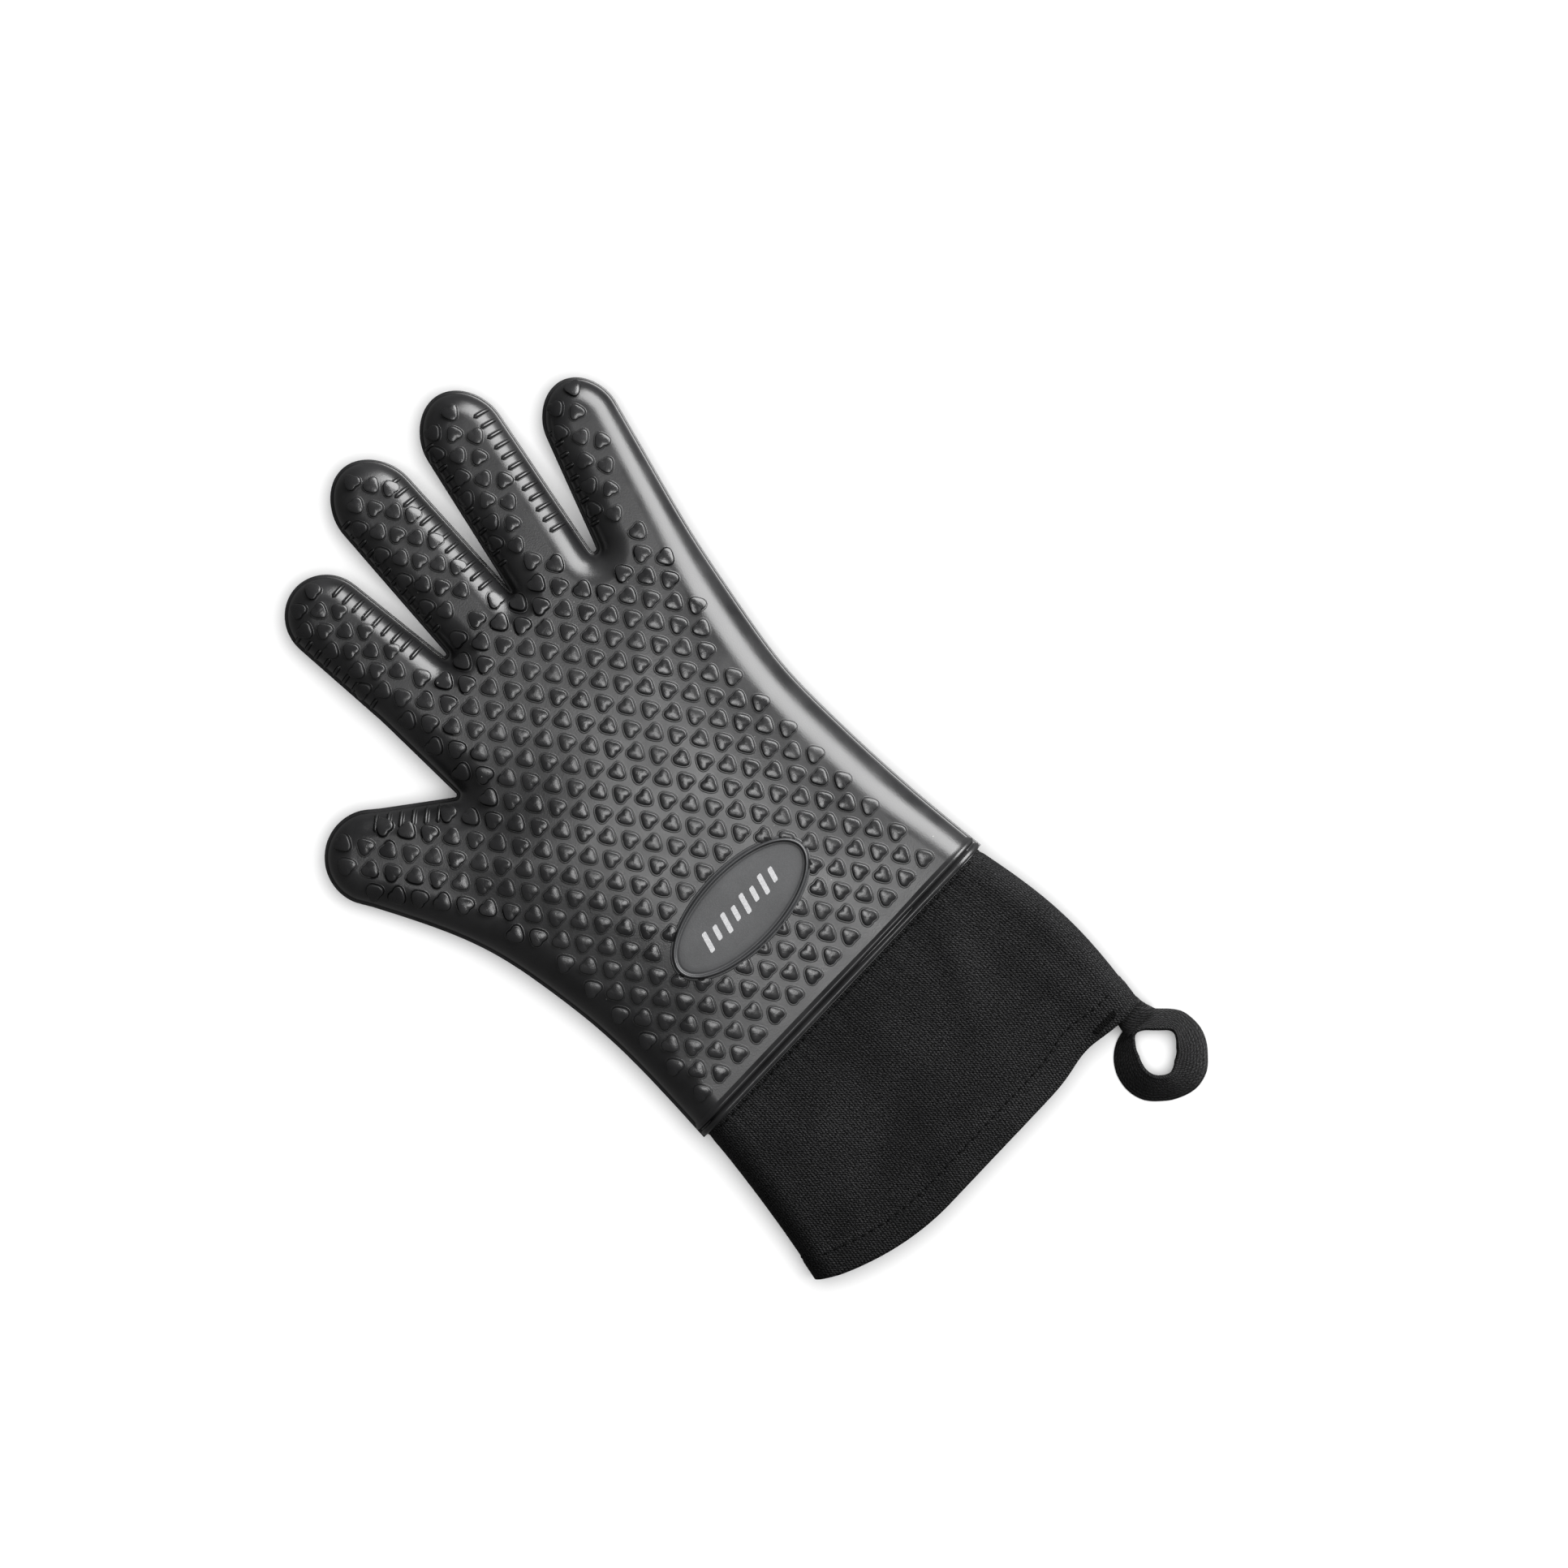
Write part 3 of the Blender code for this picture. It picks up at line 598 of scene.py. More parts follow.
def palmHearts():
    spots = []
    badgeLow, badgeHigh = nodeBox("badge")
    centre, half = (badgeLow + badgeHigh) / 2, (badgeHigh - badgeLow) / 2
    row = 0
    y = heart["rowStart"]
    while y < palmHigh[1] + 4:
        start = heart["firstX"] - (row % 2) * heart["pitch"] / 2 - 6 * heart["pitch"]
        turn = pi / 2 if row % 2 == 0 else -pi / 2
        for x in np.arange(start, palmHigh[0], heart["pitch"]):
            reach = half[:2] - heart["badgeGap"]
            underBadge = ((x - centre[0]) / reach[0]) ** 2 + ((y - centre[1]) / reach[1]) ** 2 < 1
            spots.append((x, y, turn, 1.0, underBadge))
        row += 1
        y += heart["rowPitch"]
    spots = np.array(spots)
    distance, _ = edgeDistance(spots[:, :2])
    keep = distance > heart["edgeMargin"]
    rightRun = outline[:len(outline) // 3]
    leftRun = outline[2 * len(outline) // 3:]
    thumb, little = digit["thumb"], digit["little"]
    for k, (x, y, *_) in enumerate(spots):
        if not keep[k]:
            continue
        if y < little["origin"][1]:
            nearRight = np.linalg.norm(rightRun - (x, y), axis=1).min()
            less, start, length = heart["narrower"]
            fade = np.clip((y - start) / length, 0, 1)
            keep[k] &= nearRight > heart["rightMargin"] - less * fade
        if y < thumb["origin"][1] - heart["belowThumb"]:
            keep[k] &= np.linalg.norm(leftRun - (x, y), axis=1).min() > heart["leftMargin"]
        for name in fingers:
            s, u = toDigit(digit[name], (x, y))
            clear = heart["clearOfFingers"]
            if s > -clear and abs(u) < halfWidth(digit[name], s) + clear:
                keep[k] = False
    return spots[keep]


def fingerHearts(place):
    first, across, forward, furthest = fingerGrid[place["name"]]
    lean = np.arctan2(place["along"][1], place["along"][0])
    spots = []
    for row in range(-2, 12):
        for column in range(-6, 4):
            s, u = np.array(first) + row * np.array(forward) + column * np.array(across)
            if s < 0.5 or u > furthest or abs(u) > halfWidth(place, s) - heart["fingerSide"]:
                continue
            x, y = toGlove(place, s, u)
            spots.append((x, y, lean + pi * (row % 2), heart["fingerScale"], 0))
    spots = np.array(spots)
    distance, _ = edgeDistance(spots[:, :2])
    return spots[distance > heart["fingerEdge"]]


def heartSpots():
    groups = [palmHearts()] + [fingerHearts(digit[name]) for name in fingers]
    kept = []
    for spot in np.concatenate(groups):
        if all((spot[0] - x) ** 2 + (spot[1] - y) ** 2 > heart["apart"] ** 2 * min(1.0, spot[3] * 0.95) ** 2
               for x, y, *_ in kept):
            kept.append(tuple(spot))
    return np.array(kept)


def makeHearts():
    spots = heartSpots()
    turns = np.arange(heart["turns"]) * 2 * pi / heart["turns"]
    rings = np.array([heartRadius(turns) + out for out, _, _ in heart["profile"]])
    lifts = np.array([lift for _, lift, _ in heart["profile"]])
    grooves = [groove for _, _, groove in heart["profile"]]
    grooves = np.append(np.repeat(grooves, heart["turns"]), grooves[-1])
    badgeLow, badgeHigh = nodeBox("badge")
    centre = (badgeLow + badgeHigh)[:2] / 2
    half = (badgeHigh - badgeLow)[:2] / 2 - heart["badgeOverlap"]
    rows = len(lifts)
    ownFaces = bandFaces(rows, heart["turns"], wrap=True)
    last = (rows - 1) * heart["turns"]
    crown = rows * heart["turns"]
    ownFaces += [(last + k, last + (k + 1) % heart["turns"], crown) for k in range(heart["turns"])]
    size = crown + 1
    for side in (1, -1):
        use = spots[(spots[:, 4] == 0) | (side < 0)]
        angle = turns[None, None, :] + (use[:, 2] + pi)[:, None, None]
        reach = rings[None] * use[:, 3][:, None, None]
        x = use[:, 0][:, None, None] + reach * np.cos(angle)
        y = use[:, 1][:, None, None] + reach * np.sin(angle)
        flat = np.stack([x, y], axis=-1).reshape(len(use), -1, 2)
        flat = np.concatenate([flat, use[:, None, :2]], axis=1)
        lift = np.concatenate([np.repeat(lifts, heart["turns"]), [heart["crown"]]])
        flat = flat.reshape(-1, 2)
        base, normals, _ = surfaceAt(flat, side)
        lift = np.tile(lift, len(use))
        if side > 0:
            lift = np.where((((flat - centre) / half) ** 2).sum(1) < 1, heart["sunk"], lift)
        points = base + normals * lift[:, None]
        faces = [tuple(k + size * n for k in face) for n in range(len(use)) for face in ownFaces]
        if side < 0:
            faces = [face[::-1] for face in faces]
        shown = faceNormals(points, faces)
        rim = np.tile(np.arange(size) < heart["turns"], len(use))
        shown[rim] = normals[rim]
        region = np.repeat(digitRegion(use[:, :2]), len(ownFaces))
        spreadFaces(points, shown, faces, region, grooves=np.tile(grooves, len(use)))
    return len(spots)


print("bumps:", makeHearts())


# Short ribs down the sides of the digits.
rib = {
    "pitch": 4.7, "along": 9, "firstAt": 1.0, "pastTip": 4.0,
    "section": ((-1.25, -0.1), (-1.0, 0.14), (-0.78, 0.03), (-0.62, 0.03), (-0.46, 0.6), (0.0, 0.95),
                (0.46, 0.6), (0.62, 0.03), (0.78, 0.03), (1.0, 0.14), (1.25, -0.1)),
    # groove per section point: the moats beside a rib get painted shade and a matt finish, its crown only a
    # glossier finish
    "groove": (0.0, 0.2, 1.0, 1.0, 0.6, -0.3, 0.6, 1.0, 1.0, 0.2, 0.0),
    "right": (7.7, 1.5), "left": (4.4, 0.7),   # both ends of a rib, inwards from the digit's side
    "roundEnd": 0.2,
}


def ribPoints(place, s, side, reach):
    length = np.linspace(0, 1, rib["along"])
    offset = np.array([across for across, _ in rib["section"]])
    rise = np.array([up for _, up in rib["section"]])
    end = np.clip((rib["roundEnd"] - length) / rib["roundEnd"], 0, 1)
    far = np.sqrt(np.clip(1 - end ** 2, 0.02, 1))[:, None]
    depth = (reach[0] + (reach[1] - reach[0]) * length)[:, None] + np.zeros(len(offset))
    u = side * (halfWidth(place, s) - depth)
    spots = toGlove(place, s + offset * far, u).reshape(-1, 2)
    return spots, np.where(rise > 0.2, rise * far, rise).ravel()


def makeRibs():
    spots, lifts = [], []
    for name, place in digit.items():
        sides = {"little": (-1,), "thumb": (1,)}.get(name, (1, -1))
        for side in sides:
            reach = rib["right"] if side > 0 else rib["left"]
            for s in np.arange(rib["firstAt"], place["tipStart"] + rib["pastTip"], rib["pitch"]):
                own, lift = ribPoints(place, s, side, reach)
                spots.append(own)
                lifts.append(lift)
    ownFaces = bandFaces(rib["along"], len(rib["section"]))
    size = rib["along"] * len(rib["section"])
    for top in (1, -1):
        base, normals, _ = surfaceAt(np.concatenate(spots), top)
        points = base + normals * np.concatenate(lifts)[:, None]
        faces = []
        for k in range(len(spots)):
            block = points[k * size:(k + 1) * size]
            face = ownFaces[len(ownFaces) // 2]
            turn = np.cross(block[face[1]] - block[face[0]], block[face[2]] - block[face[0]])
            flip = turn @ normals[k * size + face[0]] < 0
            faces += [tuple(i + k * size for i in (face[::-1] if flip else face)) for face in ownFaces]
        region = np.repeat(digitRegion(np.array([spot.mean(0) for spot in spots])), len(ownFaces))
        grooves = np.tile(np.tile(rib["groove"], rib["along"]), len(spots))
        spreadFaces(points, faceNormals(points, faces), faces, region, grooves=grooves)
    return len(spots)


print("ribs:", makeRibs())


# The silicone's double bead at the wrist: y, then outwards.
bead = {
    "profile": ((2.0, -0.2), (1.2, 0.08), (0.7, 0.5), (0.2, 0.72), (-0.35, 0.6), (-0.7, 0.1), (-1.1, -0.25),
                (-1.5, -0.2), (-1.8, 0.25), (-2.2, 0.68), (-2.8, 0.8), (-3.4, 0.62), (-3.85, 0.1),
                (-3.9, -0.7), (-3.6, -1.9)),
    "spacing": 2.2,
    "endPoints": 22,
    "lowest": 0.15,
}


def wristOval():
    high = wristTop / 2
    left, right = outline[-1][0], outline[0][0]
    flat = resample([(left + high, wristTop), (right - high, wristTop)], bead["spacing"])
    turn = np.linspace(pi / 2, -pi / 2, bead["endPoints"])[1:-1]
    rightEnd = np.stack([right - high + high * np.cos(turn), wristTop / 2 + high * np.sin(turn)], axis=1)
    leftEnd = np.stack([left + high - high * np.cos(turn), wristTop / 2 - high * np.sin(turn)], axis=1)
    low = flat[::-1] * (1, -1) + (0, wristTop)
    points = np.concatenate([flat, rightEnd, low, leftEnd])
    tangent = np.roll(points, -1, axis=0) - np.roll(points, 1, axis=0)
    tangent /= np.linalg.norm(tangent, axis=1)[:, None]
    return points, np.stack([-tangent[:, 1], tangent[:, 0]], axis=1)


def makeBead():
    oval, out = wristOval()
    rows = []
    for y, rise in bead["profile"]:
        spot = oval + out * rise
        spot[:, 1] = np.maximum(spot[:, 1], bead["lowest"])
        rows.append(np.stack([spot[:, 0], np.full(len(spot), y), spot[:, 1]], axis=1))
    points = np.concatenate(rows)
    faces = bandFaces(len(rows), len(oval), wrap=True)
    normals = faceNormals(points, faces)
    if normals[len(oval) * 4][2] < 0:
        faces = [face[::-1] for face in faces]
        normals = -normals
    # the low places between the bead's ridges get painted shade and a matt finish
    grooves = [1.0 if rise < 0.15 and -2.0 < y < 0.5 else 0.0 for y, rise in bead["profile"]]
    shapes["palm"].add(points, normals, faces, np.repeat(grooves, len(oval)))


makeBead()
print("bead made")

skinObjects = {name: shapeObject(name + "_silicone", shape) for name, shape in shapes.items()}
linerObjects = {name: shapeObject(name + "_liner_cloth", shape) for name, shape in linerShapes.items()}


def along(place, s):
    x, y = toGlove(place, s, 0.0) * mm
    return (float(x), float(y), place["rootMid"] * mm)


def hangDigits(items, layer):
    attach(items["palm"], "hand")
    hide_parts("palm_" + layer)
    for name, place in digit.items():
        lower, upper = items[name + "_lower"], items[name + "_upper"]
        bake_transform(lower)
        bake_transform(upper)
        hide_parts(f"{name}_base_{layer}")
        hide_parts(f"{name}_tip_{layer}")


hangDigits(skinObjects, "shell")
hangDigits(linerObjects, "liner")
print("silicone and liner hung on", len(digits), "digits")


# The badge: an oval plate with a raised rim and a plain printed row of slanted bars.
badge = {
    "profile": ((-0.95, -0.6), (-0.9, 0.1), (-0.6, 0.32), (-0.25, 0.25), (-0.02, 0.05), (0.1, 0.95),
                (0.35, 1.6), (0.72, 1.85), (1.05, 1.7), (1.25, 1.2), (1.35, 0.3), (1.7, 0.1), (2.1, 0.25),
                (2.8, 0.42), (5.0, 0.5), (8.0, 0.52)),   # inwards, up
    "sides": 120,
    "bars": 8, "barPitch": 5.0, "barWidth": 2.1, "barHeight": 7.6, "barSlant": 0.32, "barRise": 0.09,
    "shortBar": 0.72, "barCorner": (0.3, 0.5),
}


def makeBadgePlate(centre, half, foot):
    turn = np.linspace(0, 2 * pi, badge["sides"], endpoint=False)
    rows = []
    for inward, rise in badge["profile"]:
        x = centre[0] + (half[0] - inward) * np.cos(turn)
        y = centre[1] + (half[1] - inward) * np.sin(turn)
        rows.append(np.stack([x, y, np.full(len(turn), foot + rise)], axis=1))
    points = np.concatenate([*rows, [(centre[0], centre[1], foot + badge["profile"][-1][1])]])
    faces = bandFaces(len(rows), badge["sides"], wrap=True)
    last = (len(rows) - 1) * badge["sides"]
    faces += [(last + k, last + (k + 1) % badge["sides"], len(points) - 1) for k in range(badge["sides"])]
    plate = makeObject("badge_plate", points, faces, faceNormals(points, faces))
    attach(plate, "hand")
    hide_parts("badge")
    return plate


def makeBadgeBars(centre, field):
    points, faces = [], []
    cutX, cutY = badge["barCorner"]
    for k in range(badge["bars"]):
        x = centre[0] + (k - (badge["bars"] - 1) / 2) * badge["barPitch"]
        tall = badge["barHeight"] * (1.0 if k % 2 == 0 else badge["shortBar"]) / 2
        wide = badge["barWidth"] / 2
        corner = [(-wide, -tall + cutY), (-wide + cutX, -tall), (wide - cutX, -tall), (wide, -tall + cutY),
                  (wide, tall - cutY), (wide - cutX, tall), (-wide + cutX, tall), (-wide, tall - cutY)]
        start = len(points)
        for rise in (0.0, badge["barRise"]):
            points += [(x + across + badge["barSlant"] * up, centre[1] + up, field + rise)
                       for across, up in corner]
        count = len(corner)
        faces += [(start + i, start + (i + 1) % count, start + count + (i + 1) % count, start + count + i)
                  for i in range(count)]
        faces.append(tuple(range(start + count, start + 2 * count)))
    bars = makeObject("badge_bars", np.array(points), faces)
    bars.data.shade_flat()
    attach(bars, "hand")
    return bars


badgeLow, badgeHigh = nodeBox("badge")
badgeMiddle = (badgeLow + badgeHigh) / 2
badgePlate = makeBadgePlate(badgeMiddle, (badgeHigh - badgeLow) / 2, palmHigh[2])
badgeBars = makeBadgeBars(badgeMiddle, palmHigh[2] + badge["profile"][-2][1])
print("badge made")


# The cuff: two cloth panels and a lining.
cuff = {
    "across": 190, "along": 84,
    "thick": 1.0,
    "tuckedIn": 1.9,          # how far the cloth runs on under the bead
    "foldReach": 15.0,        # length of cloth at the cuff's fold line
    "foldStart": 2.0, "foldHeight": 13.0,
    "hemBand": 11.6, "hemRise": 0.5,
    "hemRiseStart": -30.0,
    "hemDip": (2.4, 47.0, 11.0),   # the hem is drawn up beside the loop: height, x, width
    "panelGirth": 168, "liningGirth": 330,   # the cloth's width in its own weave
    "liningInset": 1.9, "liningThick": 0.7,
    "liningAcross": 80, "liningAlong": 40, "liningEnds": (0.012, 0.975),
    # x, y, length, width, lean in degrees, height
    "folds": ((38.0, -26.0, 34.0, 6.5, 62.0, 1.3), (12.0, -52.0, 46.0, 9.0, 24.0, -0.9),
              (-42.0, -40.0, 40.0, 8.0, -50.0, 0.9), (58.0, -60.0, 30.0, 5.5, 100.0, 0.9),
              (-70.0, -66.0, 22.0, 5.0, 40.0, -0.7), (-10.0, -78.0, 30.0, 6.0, 8.0, 0.6),
              (66.0, -14.0, 18.0, 3.4, 30.0, -0.7)),
}
panelPoints = nodePoints("cuff_palm_panel")
panelLow, panelHigh = nodeBox("cuff_palm_panel")
cuffFloor = float(nodeBox("cuff_back_panel")[0][2])
wristRow = panelPoints[panelPoints[:, 1] > panelHigh[1] - 0.1]
hemRow = panelPoints[panelPoints[:, 1] < panelLow[1] + 0.5]
cuffStart = float(panelHigh[1])
leftHemY = float(panelPoints[panelPoints[:, 0].argmin(), 1])


def hemAt(x):
    span = cuff["hemRiseStart"] - panelLow[0]
    rise = np.clip((cuff["hemRiseStart"] - x) / span, 0, None) ** 2
    height, where, width = cuff["hemDip"]
    return panelLow[1] + (leftHemY - panelLow[1]) * rise + height * np.exp(-((x - where) / width) ** 2)


def cuffEdges(share):
    share = np.clip(share, 0, 1)
    left = wristRow[:, 0].min() + (panelLow[0] - wristRow[:, 0].min()) * share ** 1.2
    right = wristRow[:, 0].max() + (panelHigh[0] - wristRow[:, 0].max()) * np.sin(pi * share)
    top = wristRow[:, 2].max() + (hemRow[:, 2].max() - wristRow[:, 2].max()) * share
    return left, right, top


def foldsAt(x, y):
    total = np.zeros_like(x)
    for centreX, centreY, length, width, lean, height in cuff["folds"]:
        along = np.array((cos(radians(lean)), sin(radians(lean))))
        s = (x - centreX) * along[0] + (y - centreY) * along[1]
        u = -(x - centreX) * along[1] + (y - centreY) * along[0]
        total += height * np.exp(-(s / length) ** 2 * 2 - (u / width) ** 2)
    seam = np.clip((y - cuffStart + 14.0) / 14.0, 0, 1)
    pucker = 0.22 * seam * np.sin(x * 0.95 + 1.3 * np.sin(x * 0.21))
    total += pucker * (1 - np.clip((y - cuffStart) / 2, 0, 1))
    total += 0.25 * np.sin(x * 0.11 + y * 0.07) * np.sin(y * 0.13 - x * 0.05 + 1.0)
    return total


# a runs round one panel from its left edge, v from the wrist to the hem.
def cuffSurface(a, v, side, inset=0.0, plain=False):
    a, v = np.asarray(a, float), np.asarray(v, float)
    left, right, top = cuffEdges(v)
    left, right, top, low = left + inset, right - inset, top - inset, cuffFloor + inset
    high = (top - low) / 2
    arc = high * pi / 2
    flat = (right - left) - 2 * high
    run = a * (flat + 2 * arc)
    leftTurn = np.clip(run / arc, 0, 1) * pi / 2
    rightTurn = np.clip((run - arc - flat) / arc, 0, 1) * pi / 2
    middle = np.clip(run - arc, 0, flat)
    x = left + high * (1 - np.cos(leftTurn)) + middle + high * np.sin(rightTurn)
    rise = np.sin(leftTurn) * np.cos(rightTurn)
    normalX = np.where(run < arc, -np.cos(leftTurn), np.where(run > arc + flat, np.sin(rightTurn), 0.0))
    start = cuffStart + cuff["tuckedIn"]
    y = np.where(v < 0, cuffStart - v * 100, cuffStart + v * (hemAt(x) - cuffStart))
    y = np.minimum(y, start)
    z = (top + low) / 2 + side * high * rise
    normals = np.stack([normalX, np.zeros_like(x), side * rise], axis=-1)
    points = np.stack([x, y, z], axis=-1)
    if not plain:
        fromHem = y - hemAt(x)
        fade = np.clip(rise, 0, 1) ** 2 * smoothStep(cuffStart - y, 0.0, 7.0)
        puff = foldsAt(x, y) * fade * (0.85 if side > 0 else -0.3)
        band = cuff["hemRise"] * (1 - smoothStep(fromHem, cuff["hemBand"] - 0.5, cuff["hemBand"] + 0.6))
        pinch = 0.28 * np.exp(-((fromHem - cuff["hemBand"] + 1.2) / 0.8) ** 2)
        pinch += 0.25 * np.exp(-((y - cuffStart + 1.1) / 0.7) ** 2)
        points = points + normals * (puff + band - pinch - cuff["hemRise"])[..., None]
    return points, normals


def foldWithCuff(item):
    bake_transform(item)


def cuffSheet(name, side):
    a = np.linspace(0, 1, cuff["across"])
    back = -cuff["tuckedIn"] / 100
    v = np.concatenate([[back, back / 2], np.linspace(0, 0.16, 14)[:-1],
                        np.linspace(0.16, 0.82, cuff["along"] - 36)[:-1], np.linspace(0.82, 1, 24)])
    grid = np.meshgrid(v, a, indexing="ij")
    outer, normals = cuffSurface(grid[1], grid[0], side)
    edge = 1 - np.clip((1 - grid[0]) * 86 / 0.9, 0, 1)
    outer = outer - normals * (0.5 * edge ** 2)[..., None]
    inner = outer - normals * cuff["thick"]
    rows, across = grid[0].shape
    rim = (outer[-1] + inner[-1]) / 2 + np.array((0, -0.45, 0))
    points = np.concatenate([outer.reshape(-1, 3), rim, inner[::-1].reshape(-1, 3)])
    faces = bandFaces(2 * rows + 1, across, flip=side > 0)
    sides = [k * across for k in range(2 * rows + 1)]
    total = 2 * rows + 1
    for column, flip in ((0, side > 0), (across - 1, side < 0)):
        for row in range(rows):
            other = total - 1 - row
            if row + 1 <= other - 1:
                face = [row * across + column, (row + 1) * across + column, (other - 1) * across + column,
                        other * across + column]
                face = list(dict.fromkeys(face))
                faces.append(tuple(face if flip else face[::-1]))
    last = (total - 1) * across
    for k in range(across - 1):
        face = (k, k + 1, last + k + 1, last + k)
        faces.append(face if side > 0 else face[::-1])
    uvs = np.stack([(np.tile(a, total) - 0.5) * cuff["panelGirth"], points[:, 1]], axis=1)
    item = makeObject(name, points, faces, uvs=uvs)
    foldWithCuff(item)
    return item


def makeLining():
    a = np.linspace(0, 1, cuff["liningAcross"])
    v = np.linspace(*cuff["liningEnds"], cuff["liningAlong"])
    grid = np.meshgrid(v, a, indexing="ij")
    loops = []
    for depth in (cuff["liningInset"], cuff["liningInset"] + cuff["liningThick"]):
        top, topNormals = cuffSurface(grid[1], grid[0], 1, depth, plain=True)
        low, _ = cuffSurface(grid[1], grid[0], -1, depth, plain=True)
        ripple = 0.3 * np.sin(grid[1] * 60 + grid[0] * 5) * np.sin(grid[0] * pi)
        top = top - topNormals * (ripple + 0.3)[..., None]
        loops.append(np.concatenate([top[:, :-1], low[:, :0:-1]], axis=1))
    rows, around = loops[0].shape[:2]
    points = np.concatenate([loops[0].reshape(-1, 3), loops[1][::-1].reshape(-1, 3)])
    faces = bandFaces(2 * rows, around, wrap=True, flip=True)
    last = (2 * rows - 1) * around
    for k in range(around):
        after = (k + 1) % around
        faces.append((k, after, last + after, last + k))
    share = np.tile(np.arange(around) / around, 2 * rows)
    uvs = np.stack([share * cuff["liningGirth"], points[:, 1]], axis=1)
    item = makeObject("cuff_lining_cloth", points, faces, uvs=uvs)
    foldWithCuff(item)
    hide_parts("cuff_lining")
    return item


palmPanel = cuffSheet("cuff_palm_cloth", 1)
backPanel = cuffSheet("cuff_back_cloth", -1)
liningCloth = makeLining()
for panel, node in ((palmPanel, "cuff_palm_panel"), (backPanel, "cuff_back_panel")):
    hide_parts(node)
print("cuff made")


# The stitches: each one an arched thread. The rows' distances are from the wrist and from the hem.
stitch = {
    "length": 2.5, "pitch": 3.6, "radius": 0.36, "sides": 6, "steps": 7,
    "seamRow": 1.15, "hemRow": 10.4, "cuffDepth": 84,
    "ends": (0.075, 0.925),   # shares of the panel's girth
}


def stitchMesh(starts, ends, normals):
    points, faces = [], []
    for start, end, normal in zip(starts, ends, normals):
        along = end - start
        length = np.linalg.norm(along)
        along = along / length
        aside = np.cross(normal, along)
        first = len(points)
        for step in range(stitch["steps"]):
            share = step / (stitch["steps"] - 1)
            arch = 1 - (2 * share - 1) ** 2
            centre = start + along * length * share + normal * (stitch["radius"] * (1.1 * arch ** 0.6 - 0.75))
            radius = stitch["radius"] * (0.55 + 0.45 * arch ** 0.4)
            for k in range(stitch["sides"]):
                turn = 2 * pi * k / stitch["sides"]
                points.append(centre + radius * (cos(turn) * aside + sin(turn) * normal))
        ownFaces = bandFaces(stitch["steps"], stitch["sides"], wrap=True, flip=True)
        faces += [tuple(k + first for k in face) for face in ownFaces]
        last = first + (stitch["steps"] - 1) * stitch["sides"]
        faces.append(tuple(range(first, first + stitch["sides"])))
        faces.append(tuple(range(last, last + stitch["sides"]))[::-1])
    return np.array(points), faces


def stitchRow(name, side, hem):
    marks = np.arange(*stitch["ends"], stitch["pitch"] / cuff["panelGirth"])
    ends = marks + stitch["length"] / cuff["panelGirth"]
    both = []
    for a in (marks, ends):
        v = np.full(len(a), stitch["seamRow"] / stitch["cuffDepth"])
        if hem:
            x = cuffSurface(a, np.full(len(a), 0.9), side)[0][:, 0]
            v = 1 - stitch["hemRow"] / (cuffStart - hemAt(x))
        both.append(cuffSurface(a, v, side))
    points, faces = stitchMesh(both[0][0], both[1][0], both[0][1])
    return makeObject(name, points, faces)


stitchRows = []
for side, word in ((1, "palm"), (-1, "back")):
    seamStitches = stitchRow(f"seam_stitches_{word}", side, False)
    foldWithCuff(seamStitches)
    hemStitches = stitchRow(f"hem_stitches_{word}", side, True)
    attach(hemStitches, "cuff")
    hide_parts(f"seam_thread_{word}")
    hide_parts(f"hem_thread_{word}")
    for row in (seamStitches, hemStitches):
        stitchRows.append(row)

print("stitch rows:", len(stitchRows))


# The hanging loop and its neck are one tape.
loop = {
    "turns": 120, "turned": -46.6,
    # direction in degrees, outer radius, hole radius
    "outline": ((0, 17.8, 5.2), (33, 18.4, 6.2), (50, 18.4, 8.0), (64, 18.6, 9.9), (76, 18.0, 10.0),
                (90, 17.5, 9.6), (100, 17.9, 9.8), (111, 18.3, 10.2), (129, 17.2, 12.2), (141, 16.6, 13.2),
                (153, 17.2, 11.2), (180, 17.9, 8.5), (203, 18.3, 7.9), (228, 18.5, 7.8), (248, 18.4, 7.6),
                (270, 17.5, 7.2), (295, 17.7, 7.0), (319, 18.6, 5.7), (340, 18.6, 4.9)),
    "tape": 1.5, "face": 9,
    # y, left, right, middle height, half thickness
    "neck": ((-79.0, 61.5, 73.6, 9.4, 2.6), (-83.0, 62.0, 74.6, 9.2, 3.0), (-86.5, 62.4, 75.0, 8.8, 3.4),
             (-89.0, 62.3, 75.1, 8.2, 3.5), (-91.0, 61.8, 75.5, 7.4, 3.5), (-92.8, 61.2, 76.0, 6.4, 3.3),
             (-94.8, 60.8, 76.6, 5.4, 2.6)),
    "neckSides": 44,
}


def tapeOutline(turn):
    table = np.array(loop["outline"], float)
    turned = np.degrees(turn) - loop["turned"]
    sides = [np.interp(turned, table[:, 0], table[:, k], period=360) for k in (1, 2)]
    spread = np.array((1, 2, 3, 2, 1)) / 9
    return [np.convolve(np.concatenate([side[-2:], side, side[:2]]), spread, "valid") for side in sides]


